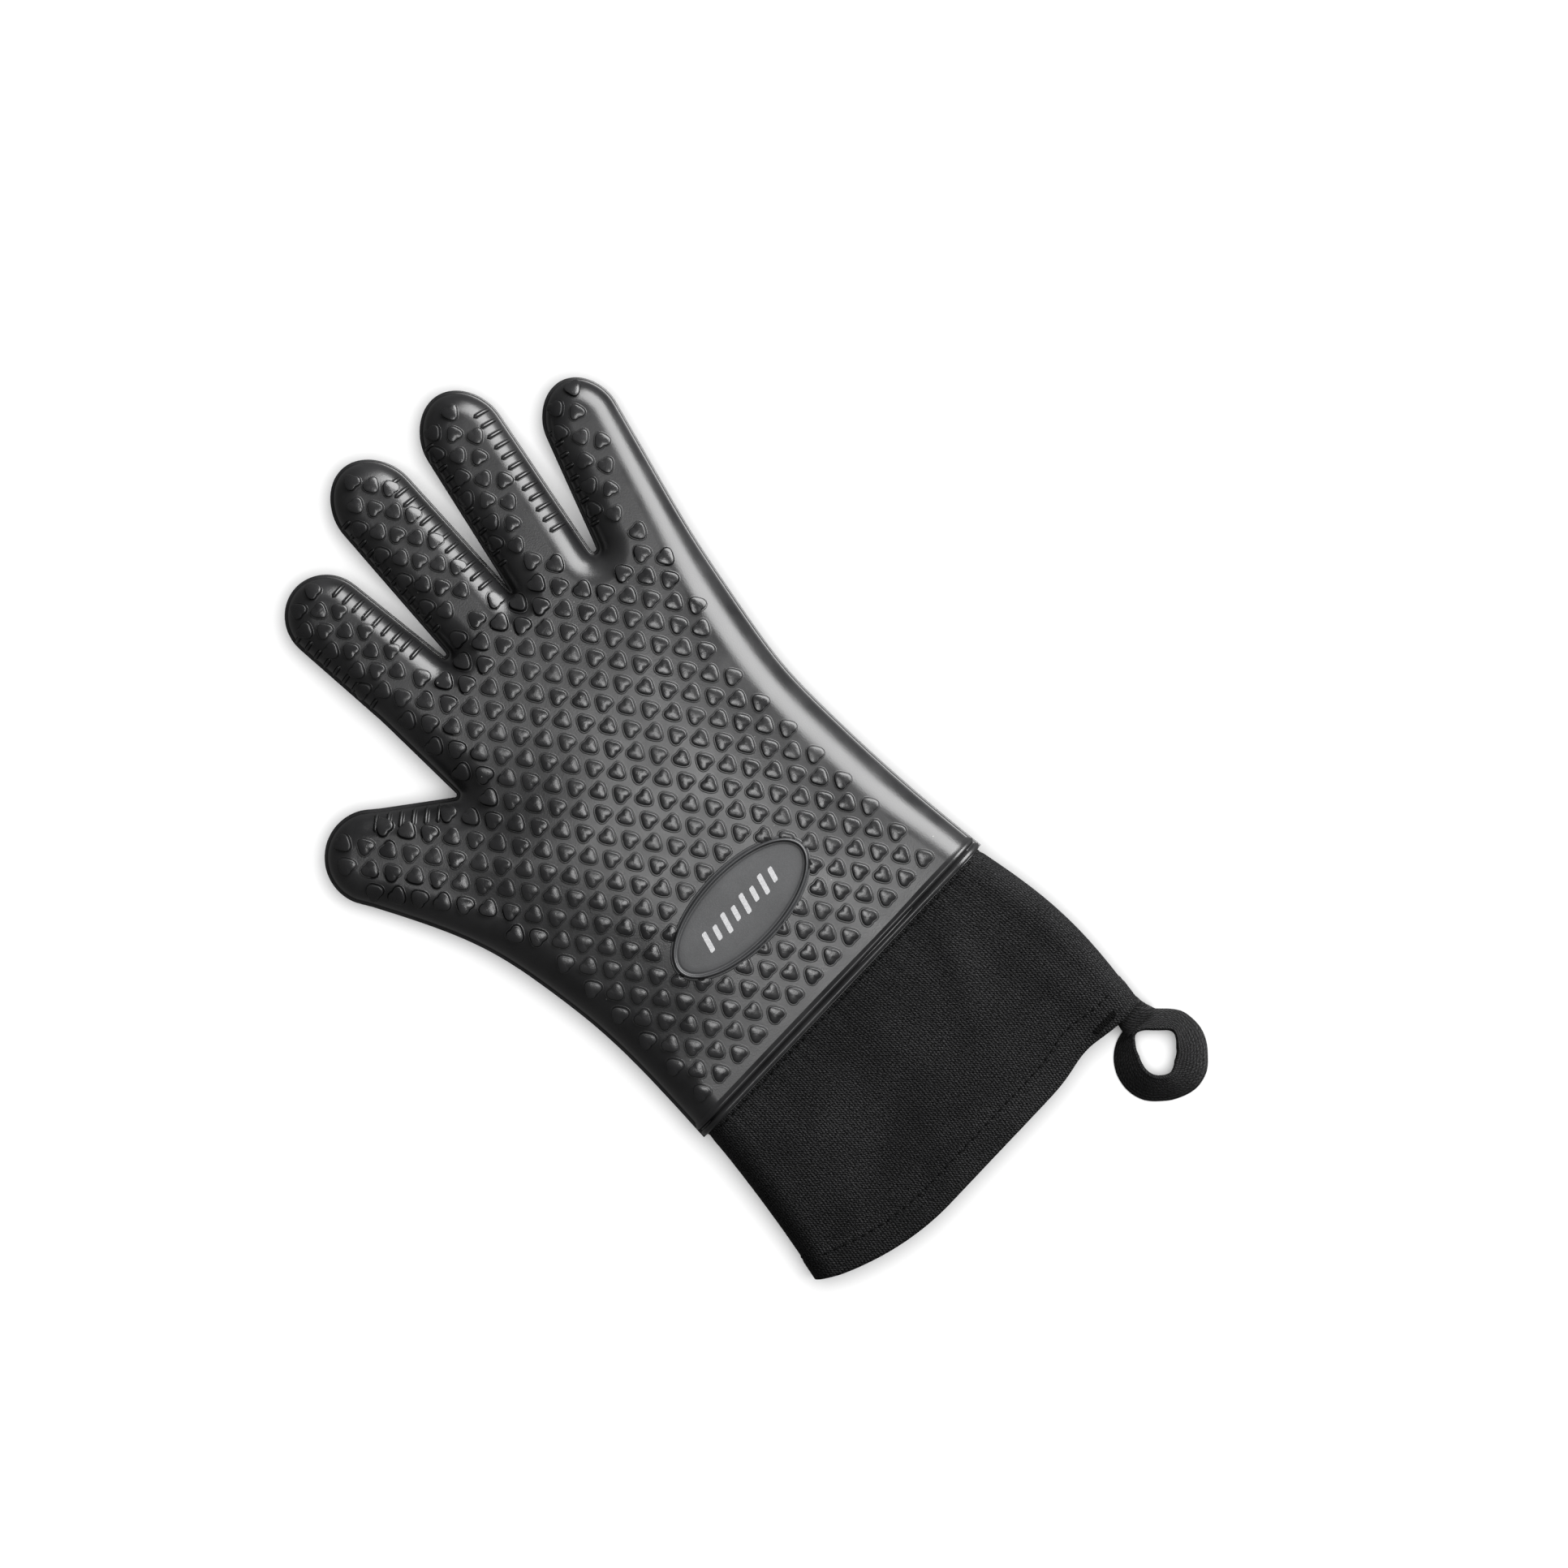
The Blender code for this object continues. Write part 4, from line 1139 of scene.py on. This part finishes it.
def tapeRing():
    low, high = nodeBox("loop")
    centre = ((low + high) / 2)[:2]
    turn = np.linspace(0, 2 * pi, loop["turns"], endpoint=False)
    outer, inner = tapeOutline(turn)
    tall = high[2] - low[2] + 0.6 * np.sin(turn * 2 + 0.5)
    lean = np.linspace(0, 1, loop["face"])
    rows = []
    for share in lean:
        bulge = 0.7 * np.sin(pi * share)
        radius = outer + (inner + loop["tape"] - outer) * share
        rows.append((radius, low[2] + 0.5 + (tall - 1.0) * share ** 0.85 + bulge))
    rows.append((inner + 0.75 * loop["tape"], low[2] + tall - 0.1))
    rows.append((inner + 0.25 * loop["tape"], low[2] + tall - 0.3))
    for share in lean[::-1]:
        radius = outer - loop["tape"] + (inner - outer + loop["tape"]) * share
        rows.append((radius, low[2] + 0.2 + (tall - 1.6) * share))
    rows = [np.stack([centre[0] + radius * np.cos(turn), centre[1] + radius * np.sin(turn), z], axis=1)
            for radius, z in rows]
    count = len(rows)
    faces = bandFaces(count, loop["turns"], wrap=True)
    faces += [((count - 1) * loop["turns"] + k, (count - 1) * loop["turns"] + (k + 1) % loop["turns"],
               (k + 1) % loop["turns"], k) for k in range(loop["turns"])]
    wide = np.r_[lean * 11, 11.5, 12.0, 12.5 + lean * 11]
    uvs = np.stack([np.repeat(wide, loop["turns"]), np.tile(turn * 13, count)], axis=1)
    return np.concatenate(rows), faces, uvs


def tapeNeck():
    turn = np.linspace(0, 2 * pi, loop["neckSides"], endpoint=False)
    rows = []
    for y, left, right, middle, half in loop["neck"]:
        x = (left + right) / 2 + (right - left) / 2 * np.sign(np.cos(turn)) * abs(np.cos(turn)) ** 0.55
        z = middle + half * np.sign(np.sin(turn)) * abs(np.sin(turn)) ** 0.7 * (1 - 0.12 * np.cos(2 * turn))
        rows.append(np.stack([x, np.full(len(turn), y), z], axis=1))
    points = np.concatenate(rows)
    faces = bandFaces(len(rows), len(turn), wrap=True)
    faces += [tuple(range(len(turn)))[::-1], tuple(range((len(rows) - 1) * len(turn), len(rows) * len(turn)))]
    return points, faces, np.stack([points[:, 0] + points[:, 2], points[:, 1]], axis=1)


def makeLoop():
    ring, ringFaces, ringUvs = tapeRing()
    neck, neckFaces, neckUvs = tapeNeck()
    faces = ringFaces + [tuple(k + len(ring) for k in face) for face in neckFaces]
    uvs = np.concatenate([ringUvs, neckUvs])
    item = makeObject("hanging_loop", np.concatenate([ring, neck]), faces, uvs=uvs)
    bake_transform(item)
    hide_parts("loop", "loop_neck")
    return item


tack = {"stitches": 16, "lean": 0.35, "sunk": 0.5}


def makeBartack():
    low, high = nodeBox("bartack")
    starts, ends, ups = [], [], []
    z = (low[2] + high[2]) / 2 - tack["sunk"]
    for k, x in enumerate(np.linspace(low[0], high[0], tack["stitches"])):
        lean = tack["lean"] if k % 2 else -tack["lean"]
        starts.append(np.array((x - lean, low[1], z)))
        ends.append(np.array((x + lean, high[1], z)))
        ups.append(np.array((0.0, 0.0, 1.0)))
    points, faces = stitchMesh(starts, ends, ups)
    item = makeObject("bartack_stitches", points, faces)
    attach(item, "cuff")
    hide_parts("bartack")
    return item


hangingLoop = makeLoop()
bartack = makeBartack()
print("loop and bartack made")


def makeGroup(name, inputs, outputs):
    group = bpy.data.node_groups.new(name, "ShaderNodeTree")
    for label, kind, value in inputs:
        socket = group.interface.new_socket(name=label, in_out="INPUT", socket_type=kind)
        if value is not None:
            socket.default_value = value
    for label, kind in outputs:
        group.interface.new_socket(name=label, in_out="OUTPUT", socket_type=kind)
    start = group.nodes.new("NodeGroupInput")
    end = group.nodes.new("NodeGroupOutput")
    return group, start, end


def calculate(tree, operation, *values):
    node = tree.nodes.new("ShaderNodeMath")
    node.operation = operation
    for socket, value in zip(node.inputs, values):
        if isinstance(value, (int, float)):
            socket.default_value = value
        else:
            tree.links.new(value, socket)
    return node.outputs[0]


def noise(tree, vector, scale, detail=2.0, roughness=0.5):
    node = tree.nodes.new("ShaderNodeTexNoise")
    tree.links.new(vector, node.inputs["Vector"])
    if isinstance(scale, (int, float)):
        node.inputs["Scale"].default_value = scale
    else:
        tree.links.new(scale, node.inputs["Scale"])
    node.inputs["Detail"].default_value = detail
    node.inputs["Roughness"].default_value = roughness
    return node.outputs["Fac"]


def rangeOf(tree, value, fromLow, fromHigh, toLow, toHigh):
    node = tree.nodes.new("ShaderNodeMapRange")
    tree.links.new(value, node.inputs["Value"])
    limits = (("From Min", fromLow), ("From Max", fromHigh), ("To Min", toLow), ("To Max", toHigh))
    for label, number in limits:
        node.inputs[label].default_value = number
    return node.outputs["Result"]


def makeGrainGroup():
    group, start, end = makeGroup("fineGrain", (("Vector", "NodeSocketVector", None),
                                                ("Scale", "NodeSocketFloat", 900.0)),
                                  (("Height", "NodeSocketFloat"), ("Cloud", "NodeSocketFloat")))
    fine = noise(group, start.outputs["Vector"], start.outputs["Scale"], 3.0, 0.6)
    cloudScale = calculate(group, "MULTIPLY", start.outputs["Scale"], 0.035)
    cloud = noise(group, start.outputs["Vector"], cloudScale, 3.0, 0.55)
    group.links.new(fine, end.inputs["Height"])
    group.links.new(cloud, end.inputs["Cloud"])
    return group


def makeFleckGroup():
    group, start, end = makeGroup("lintFlecks", (("Vector", "NodeSocketVector", None),
                                                 ("Scale", "NodeSocketFloat", 120.0),
                                                 ("Size", "NodeSocketFloat", 0.1)),
                                  (("Mask", "NodeSocketFloat"),))
    bent = noise(group, start.outputs["Vector"], 700.0, 2.0, 0.6)
    shift = group.nodes.new("ShaderNodeVectorMath")
    shift.operation = "MULTIPLY_ADD"
    group.links.new(bent, shift.inputs[0])
    shift.inputs[1].default_value = (0.0012, 0.0008, 0.0010)
    group.links.new(start.outputs["Vector"], shift.inputs[2])
    cells = group.nodes.new("ShaderNodeTexVoronoi")
    group.links.new(shift.outputs[0], cells.inputs["Vector"])
    group.links.new(start.outputs["Scale"], cells.inputs["Scale"])
    near = calculate(group, "LESS_THAN", cells.outputs["Distance"], start.outputs["Size"])
    chosen = group.nodes.new("ShaderNodeSeparateColor")
    group.links.new(cells.outputs["Color"], chosen.inputs["Color"])
    rare = calculate(group, "GREATER_THAN", chosen.outputs["Red"], 0.86)
    group.links.new(calculate(group, "MULTIPLY", near, rare), end.inputs["Mask"])
    return group


def makeWeaveGroup():
    group, start, end = makeGroup("twillWeave", (("Vector", "NodeSocketVector", None),
                                                 ("Pitch", "NodeSocketFloat", 0.8)),
                                  (("Height", "NodeSocketFloat"), ("ShadeAndTone", "NodeSocketFloat")))
    parts = group.nodes.new("ShaderNodeSeparateXYZ")
    group.links.new(start.outputs["Vector"], parts.inputs["Vector"])
    wobble = noise(group, start.outputs["Vector"], 0.35, 2.0, 0.6)
    u, v = [calculate(group, "DIVIDE", calculate(group, "ADD", parts.outputs[way], wobble),
                      start.outputs["Pitch"]) for way in ("X", "Y")]
    warp = calculate(group, "ABSOLUTE", calculate(group, "SINE", calculate(group, "MULTIPLY", u, pi)))
    diagonal = calculate(group, "SINE", calculate(group, "MULTIPLY", calculate(group, "ADD", u, v), pi))
    step = calculate(group, "ABSOLUTE", diagonal)
    ridge = calculate(group, "POWER", warp, 0.6)
    height = calculate(group, "MULTIPLY", ridge, calculate(group, "ADD", step, 0.35))
    fuzz = noise(group, start.outputs["Vector"], 1.3, 5.0, 0.75)
    group.links.new(calculate(group, "MULTIPLY_ADD", fuzz, 0.8, height), end.inputs["Height"])
    # painted shade: the output is low between threads and high on their tops, times random tone from the uneven
    # noise
    uneven = rangeOf(group, fuzz, 0.38, 0.64, 0.0, 1.7)
    group.links.new(calculate(group, "MULTIPLY", height, uneven), end.inputs["ShadeAndTone"])
    return group


fineGrain, lintFlecks, twillWeave = makeGrainGroup(), makeFleckGroup(), makeWeaveGroup()


def place(tree, group, vector, **values):
    node = tree.nodes.new("ShaderNodeGroup")
    node.node_tree = group
    tree.links.new(vector, node.inputs["Vector"])
    for label, value in values.items():
        node.inputs[label].default_value = value
    return node


def newMaterial(name, colour, roughness, **more):
    material = bpy.data.materials.new(name)
    material.use_nodes = True
    shader = material.node_tree.nodes["Principled BSDF"]
    shader.inputs["Base Color"].default_value = (*colour, 1.0)
    shader.inputs["Roughness"].default_value = roughness
    for label, value in more.items():
        shader.inputs[label.replace("_", " ")].default_value = value
    return material, material.node_tree, shader


def blendColours(tree, mask, first, second):
    node = tree.nodes.new("ShaderNodeMix")
    node.data_type = "RGBA"
    tree.links.new(mask, node.inputs["Factor"])
    for socket, value in ((node.inputs["A"], first), (node.inputs["B"], second)):
        if isinstance(value, tuple):
            socket.default_value = (*value, 1.0)
        else:
            tree.links.new(value, socket)
    return node.outputs["Result"]


def bump(tree, shader, height, distance, strength=1.0):
    node = tree.nodes.new("ShaderNodeBump")
    node.inputs["Strength"].default_value = strength
    node.inputs["Distance"].default_value = distance
    tree.links.new(height, node.inputs["Height"])
    tree.links.new(node.outputs["Normal"], shader.inputs["Normal"])


def coordinates(tree, kind):
    return tree.nodes.new("ShaderNodeTexCoord").outputs[kind]


silicone = {
    "colour": (0.006, 0.006, 0.0064), "worn": (0.014, 0.014, 0.0145), "dust": (0.12, 0.12, 0.115),
    "gloss": (0.27, 0.36),
    "grooveMatt": 0.5, "groovePaintedShade": 0.92,   # the groove round each bump is matt, and painted shade darkens it: metallic on the near-black colour takes its shine away
    "grain": 1600.0, "grainDepth": 0.00004,
}


def satinSilicone():
    material, tree, shader = newMaterial("satinSilicone", silicone["colour"], 0.34)
    where = coordinates(tree, "Object")
    grain = place(tree, fineGrain, where, Scale=silicone["grain"])
    dust = place(tree, lintFlecks, where, Scale=210.0, Size=0.055)
    cloud = rangeOf(tree, grain.outputs["Cloud"], 0.3, 0.7, 0.0, 1.0)
    colour = blendColours(tree, cloud, silicone["colour"], silicone["worn"])
    colour = blendColours(tree, dust.outputs["Mask"], colour, silicone["dust"])
    tree.links.new(colour, shader.inputs["Base Color"])
    gloss = rangeOf(tree, grain.outputs["Cloud"], 0.3, 0.7, *silicone["gloss"])
    groove = tree.nodes.new("ShaderNodeAttribute")
    groove.attribute_name = "groove"
    matt = calculate(tree, "MULTIPLY_ADD", groove.outputs["Fac"], silicone["grooveMatt"], gloss)
    tree.links.new(matt, shader.inputs["Roughness"])
    # painted shade: the groove mask makes the silicone metallic, so its near-black colour darkens the grooves
    # round bumps and ribs and between the bead's ridges
    paintedGrooveShade = rangeOf(tree, groove.outputs["Fac"], 0.1, 1.0, 0.0, silicone["groovePaintedShade"])
    tree.links.new(paintedGrooveShade, shader.inputs["Metallic"])
    bump(tree, shader, grain.outputs["Height"], silicone["grainDepth"])
    return material


badgeFinish = {
    "colour": (0.020, 0.0205, 0.0215), "light": (0.030, 0.0305, 0.032),
    "print": (0.34, 0.34, 0.345), "wornPrint": (0.24, 0.24, 0.245),
}


def badgeRubber():
    material, tree, shader = newMaterial("badgeRubber", badgeFinish["colour"], 0.42)
    grain = place(tree, fineGrain, coordinates(tree, "Object"), Scale=2200.0)
    cloud = rangeOf(tree, grain.outputs["Cloud"], 0.3, 0.7, 0.0, 1.0)
    colour = blendColours(tree, cloud, badgeFinish["colour"], badgeFinish["light"])
    tree.links.new(colour, shader.inputs["Base Color"])
    tree.links.new(rangeOf(tree, grain.outputs["Height"], 0.3, 0.7, 0.38, 0.5), shader.inputs["Roughness"])
    bump(tree, shader, grain.outputs["Height"], 0.00003)
    return material


def badgePrint():
    material, tree, shader = newMaterial("badgePrint", badgeFinish["print"], 0.5)
    grain = place(tree, fineGrain, coordinates(tree, "Object"), Scale=2600.0)
    worn = rangeOf(tree, grain.outputs["Height"], 0.35, 0.6, 0.0, 1.0)
    colour = blendColours(tree, worn, badgeFinish["wornPrint"], badgeFinish["print"])
    tree.links.new(colour, shader.inputs["Base Color"])
    tree.links.new(rangeOf(tree, grain.outputs["Height"], 0.3, 0.7, 0.45, 0.6), shader.inputs["Roughness"])
    return material


# each cloth's dark colour goes where the weave lies low and its light colour on the thread tops: painted shade
# between threads, mixed with random tone
cloths = {
    "blackCanvas": {
        "dark": (0.0008, 0.0008, 0.0009), "light": (0.027, 0.027, 0.0277), "pitch": 1.05, "depth": 0.0004,
        "lint": (0.30, 0.30, 0.29), "lintSize": 0.06, "sheen": 0.004,
    },
    "liningTwill": {
        "dark": (0.003, 0.003, 0.00315), "light": (0.014, 0.014, 0.0146), "pitch": 0.60, "depth": 0.0002,
        "lint": (0.2, 0.2, 0.2), "lintSize": 0.03, "sheen": 0.03,
    },
    "knitLiner": {
        "dark": (0.006, 0.006, 0.00630), "light": (0.03, 0.03, 0.0312), "pitch": 1.4, "depth": 0.0004,
        "lint": (0.2, 0.2, 0.2), "lintSize": 0.03, "sheen": 0.05,
    },
    "blackTape": {
        "dark": (0.0014, 0.0014, 0.00147), "light": (0.022, 0.022, 0.0225), "pitch": 1.25, "depth": 0.0004,
        "lint": (0.10, 0.10, 0.10), "lintSize": 0.04, "sheen": 0.03,
    },
}


def clothMaterial(name, flatWay):
    values = cloths[name]
    material, tree, shader = newMaterial(name, values["light"], 0.88, Sheen_Weight=values["sheen"])
    shader.inputs["Sheen Roughness"].default_value = 0.5
    shader.inputs["Specular IOR Level"].default_value = 0.04
    if flatWay:
        where = coordinates(tree, "UV")
    else:
        scaled = tree.nodes.new("ShaderNodeVectorMath")
        scaled.operation = "SCALE"
        scaled.inputs["Scale"].default_value = 1000.0
        tree.links.new(coordinates(tree, "Object"), scaled.inputs[0])
        where = scaled.outputs[0]
    weave = place(tree, twillWeave, where, Pitch=values["pitch"])
    body = coordinates(tree, "Object")
    cloud = place(tree, fineGrain, body, Scale=900.0)
    flecks = place(tree, lintFlecks, body, Scale=95.0, Size=values["lintSize"])
    # painted shade between threads and lighter thread tops from the weave, times random tone from the cloud
    shade = rangeOf(tree, weave.outputs["ShadeAndTone"], 0.1, 1.5, 0.0, 1.0)
    shade = calculate(tree, "MULTIPLY", shade, rangeOf(tree, cloud.outputs["Cloud"], 0.3, 0.7, 0.55, 1.2))
    colour = blendColours(tree, shade, values["dark"], values["light"])
    colour = blendColours(tree, flecks.outputs["Mask"], colour, values["lint"])
    tree.links.new(colour, shader.inputs["Base Color"])
    tree.links.new(rangeOf(tree, weave.outputs["Height"], 0.2, 1.5, 0.95, 0.78), shader.inputs["Roughness"])
    bump(tree, shader, weave.outputs["Height"], values["depth"], 0.8)
    return material


thread = {"colour": (0.001, 0.001, 0.001), "dark": (0.0006, 0.0006, 0.0006), "light": (0.002, 0.002, 0.0021)}


def blackThread():
    material, tree, shader = newMaterial("blackThread", thread["colour"], 0.9, Specular_IOR_Level=0.08)
    grain = place(tree, fineGrain, coordinates(tree, "Object"), Scale=4500.0)
    strand = rangeOf(tree, grain.outputs["Height"], 0.35, 0.65, 0.0, 1.0)
    tree.links.new(blendColours(tree, strand, thread["dark"], thread["light"]), shader.inputs["Base Color"])
    tree.links.new(rangeOf(tree, grain.outputs["Height"], 0.3, 0.7, 0.8, 0.95), shader.inputs["Roughness"])
    bump(tree, shader, grain.outputs["Height"], 0.00012)
    return material


def dress(material, *items):
    for item in items:
        item.data.materials.clear()
        item.data.materials.append(material)


dress(satinSilicone(), *skinObjects.values())
dress(badgeRubber(), badgePlate)
dress(badgePrint(), badgeBars)
dress(clothMaterial("blackCanvas", True), palmPanel, backPanel)
dress(clothMaterial("liningTwill", True), liningCloth)
dress(clothMaterial("blackTape", True), hangingLoop)
dress(blackThread(), *stitchRows, bartack)
dress(clothMaterial("knitLiner", False), *linerObjects.values())
print("materials:", len(bpy.data.materials))


# Camera, lights and floor; the lights' places and sizes are in metres.
studio = {
    "right": (0.6876, -0.7261, 0.0),
    "up": (0.7261, 0.6876, 0.0),
    "aside": (41.6, -4.1),       # from the middle of the glove to the middle of the view
    "width": 590.0,
    "lens": 120.0,
    "side": {"place": (0.95, 0.05, 0.52), "target": (0.0, 0.05, 0.0), "size": (1.5, 1.0), "power": 60.0},
    "top": {"place": (0.03, 0.06, 0.78), "target": (0.02, 0.06, 0.0), "size": (0.22, 0.22), "power": 1.7},
    "paper": {"place": (0.3, 0.0, 2.4), "target": (0.0, 0.05, 0.0), "size": (2.4, 2.4), "power": 84.0},
    "surround": 0.16,
    "paperColour": (0.93, 0.93, 0.93), "paperRoughness": 0.85, "paperSize": 8.0, "paperHeight": -0.0004,
}


def makeCamera():
    data = bpy.data.cameras.new("camera")
    data.lens = studio["lens"]
    data.clip_end = 20.0
    camera = bpy.data.objects.new("camera", data)
    bpy.context.scene.collection.objects.link(camera)
    right, up = Vector(studio["right"]).normalized(), Vector(studio["up"]).normalized()
    centre = (Vector(cadBounds[0]) + Vector(cadBounds[1])) / 2
    distance = studio["width"] * mm * studio["lens"] / data.sensor_width
    spot = Vector((centre.x + studio["aside"][0] * mm, centre.y + studio["aside"][1] * mm, distance + 0.02))
    turn = Matrix((right, up, right.cross(up))).transposed()
    camera.matrix_world = Matrix.Translation(spot) @ turn.to_4x4()
    bpy.context.scene.camera = camera


def makeLight(name, place, target, size, power):
    data = bpy.data.lights.new(name, "AREA")
    data.shape = "RECTANGLE"
    data.size, data.size_y = size
    data.energy = power
    light = bpy.data.objects.new(name, data)
    light.location = place
    light.rotation_euler = (Vector(target) - Vector(place)).to_track_quat("-Z", "Y").to_euler()
    light.visible_camera = False
    bpy.context.scene.collection.objects.link(light)
    return light


def lightOnly(light, item, state):
    group = bpy.data.collections.new(light.name + " receivers")
    group.objects.link(item)
    group.collection_objects[0].light_linking.link_state = state
    light.light_linking.receiver_collection = group


def makeFloor():
    bpy.ops.mesh.primitive_plane_add(size=studio["paperSize"], location=(0.0, 0.0, studio["paperHeight"]))
    floor = bpy.context.active_object
    floor.name = "floor"
    floor.visible_glossy = False
    paper = bpy.data.materials.new("floorPaper")
    paper.use_nodes = True
    shader = paper.node_tree.nodes["Principled BSDF"]
    shader.inputs["Base Color"].default_value = (*studio["paperColour"], 1.0)
    shader.inputs["Roughness"].default_value = studio["paperRoughness"]
    floor.data.materials.append(paper)
    return floor


def makeStudio():
    makeCamera()
    floor = makeFloor()
    side = makeLight("side softbox", **studio["side"])
    top = makeLight("top softbox", **studio["top"])
    paperLight = makeLight("floor light", **studio["paper"])
    lightOnly(side, floor, "EXCLUDE")
    lightOnly(top, floor, "EXCLUDE")
    lightOnly(paperLight, floor, "INCLUDE")
    bpy.context.scene.view_settings.view_transform = "Standard"
    world = bpy.data.worlds.new("studio")
    world.use_nodes = True
    background = world.node_tree.nodes["Background"]
    background.inputs["Color"].default_value = (1.0, 1.0, 1.0, 1.0)
    background.inputs["Strength"].default_value = studio["surround"]
    bpy.context.scene.world = world


makeStudio()
print("studio made")
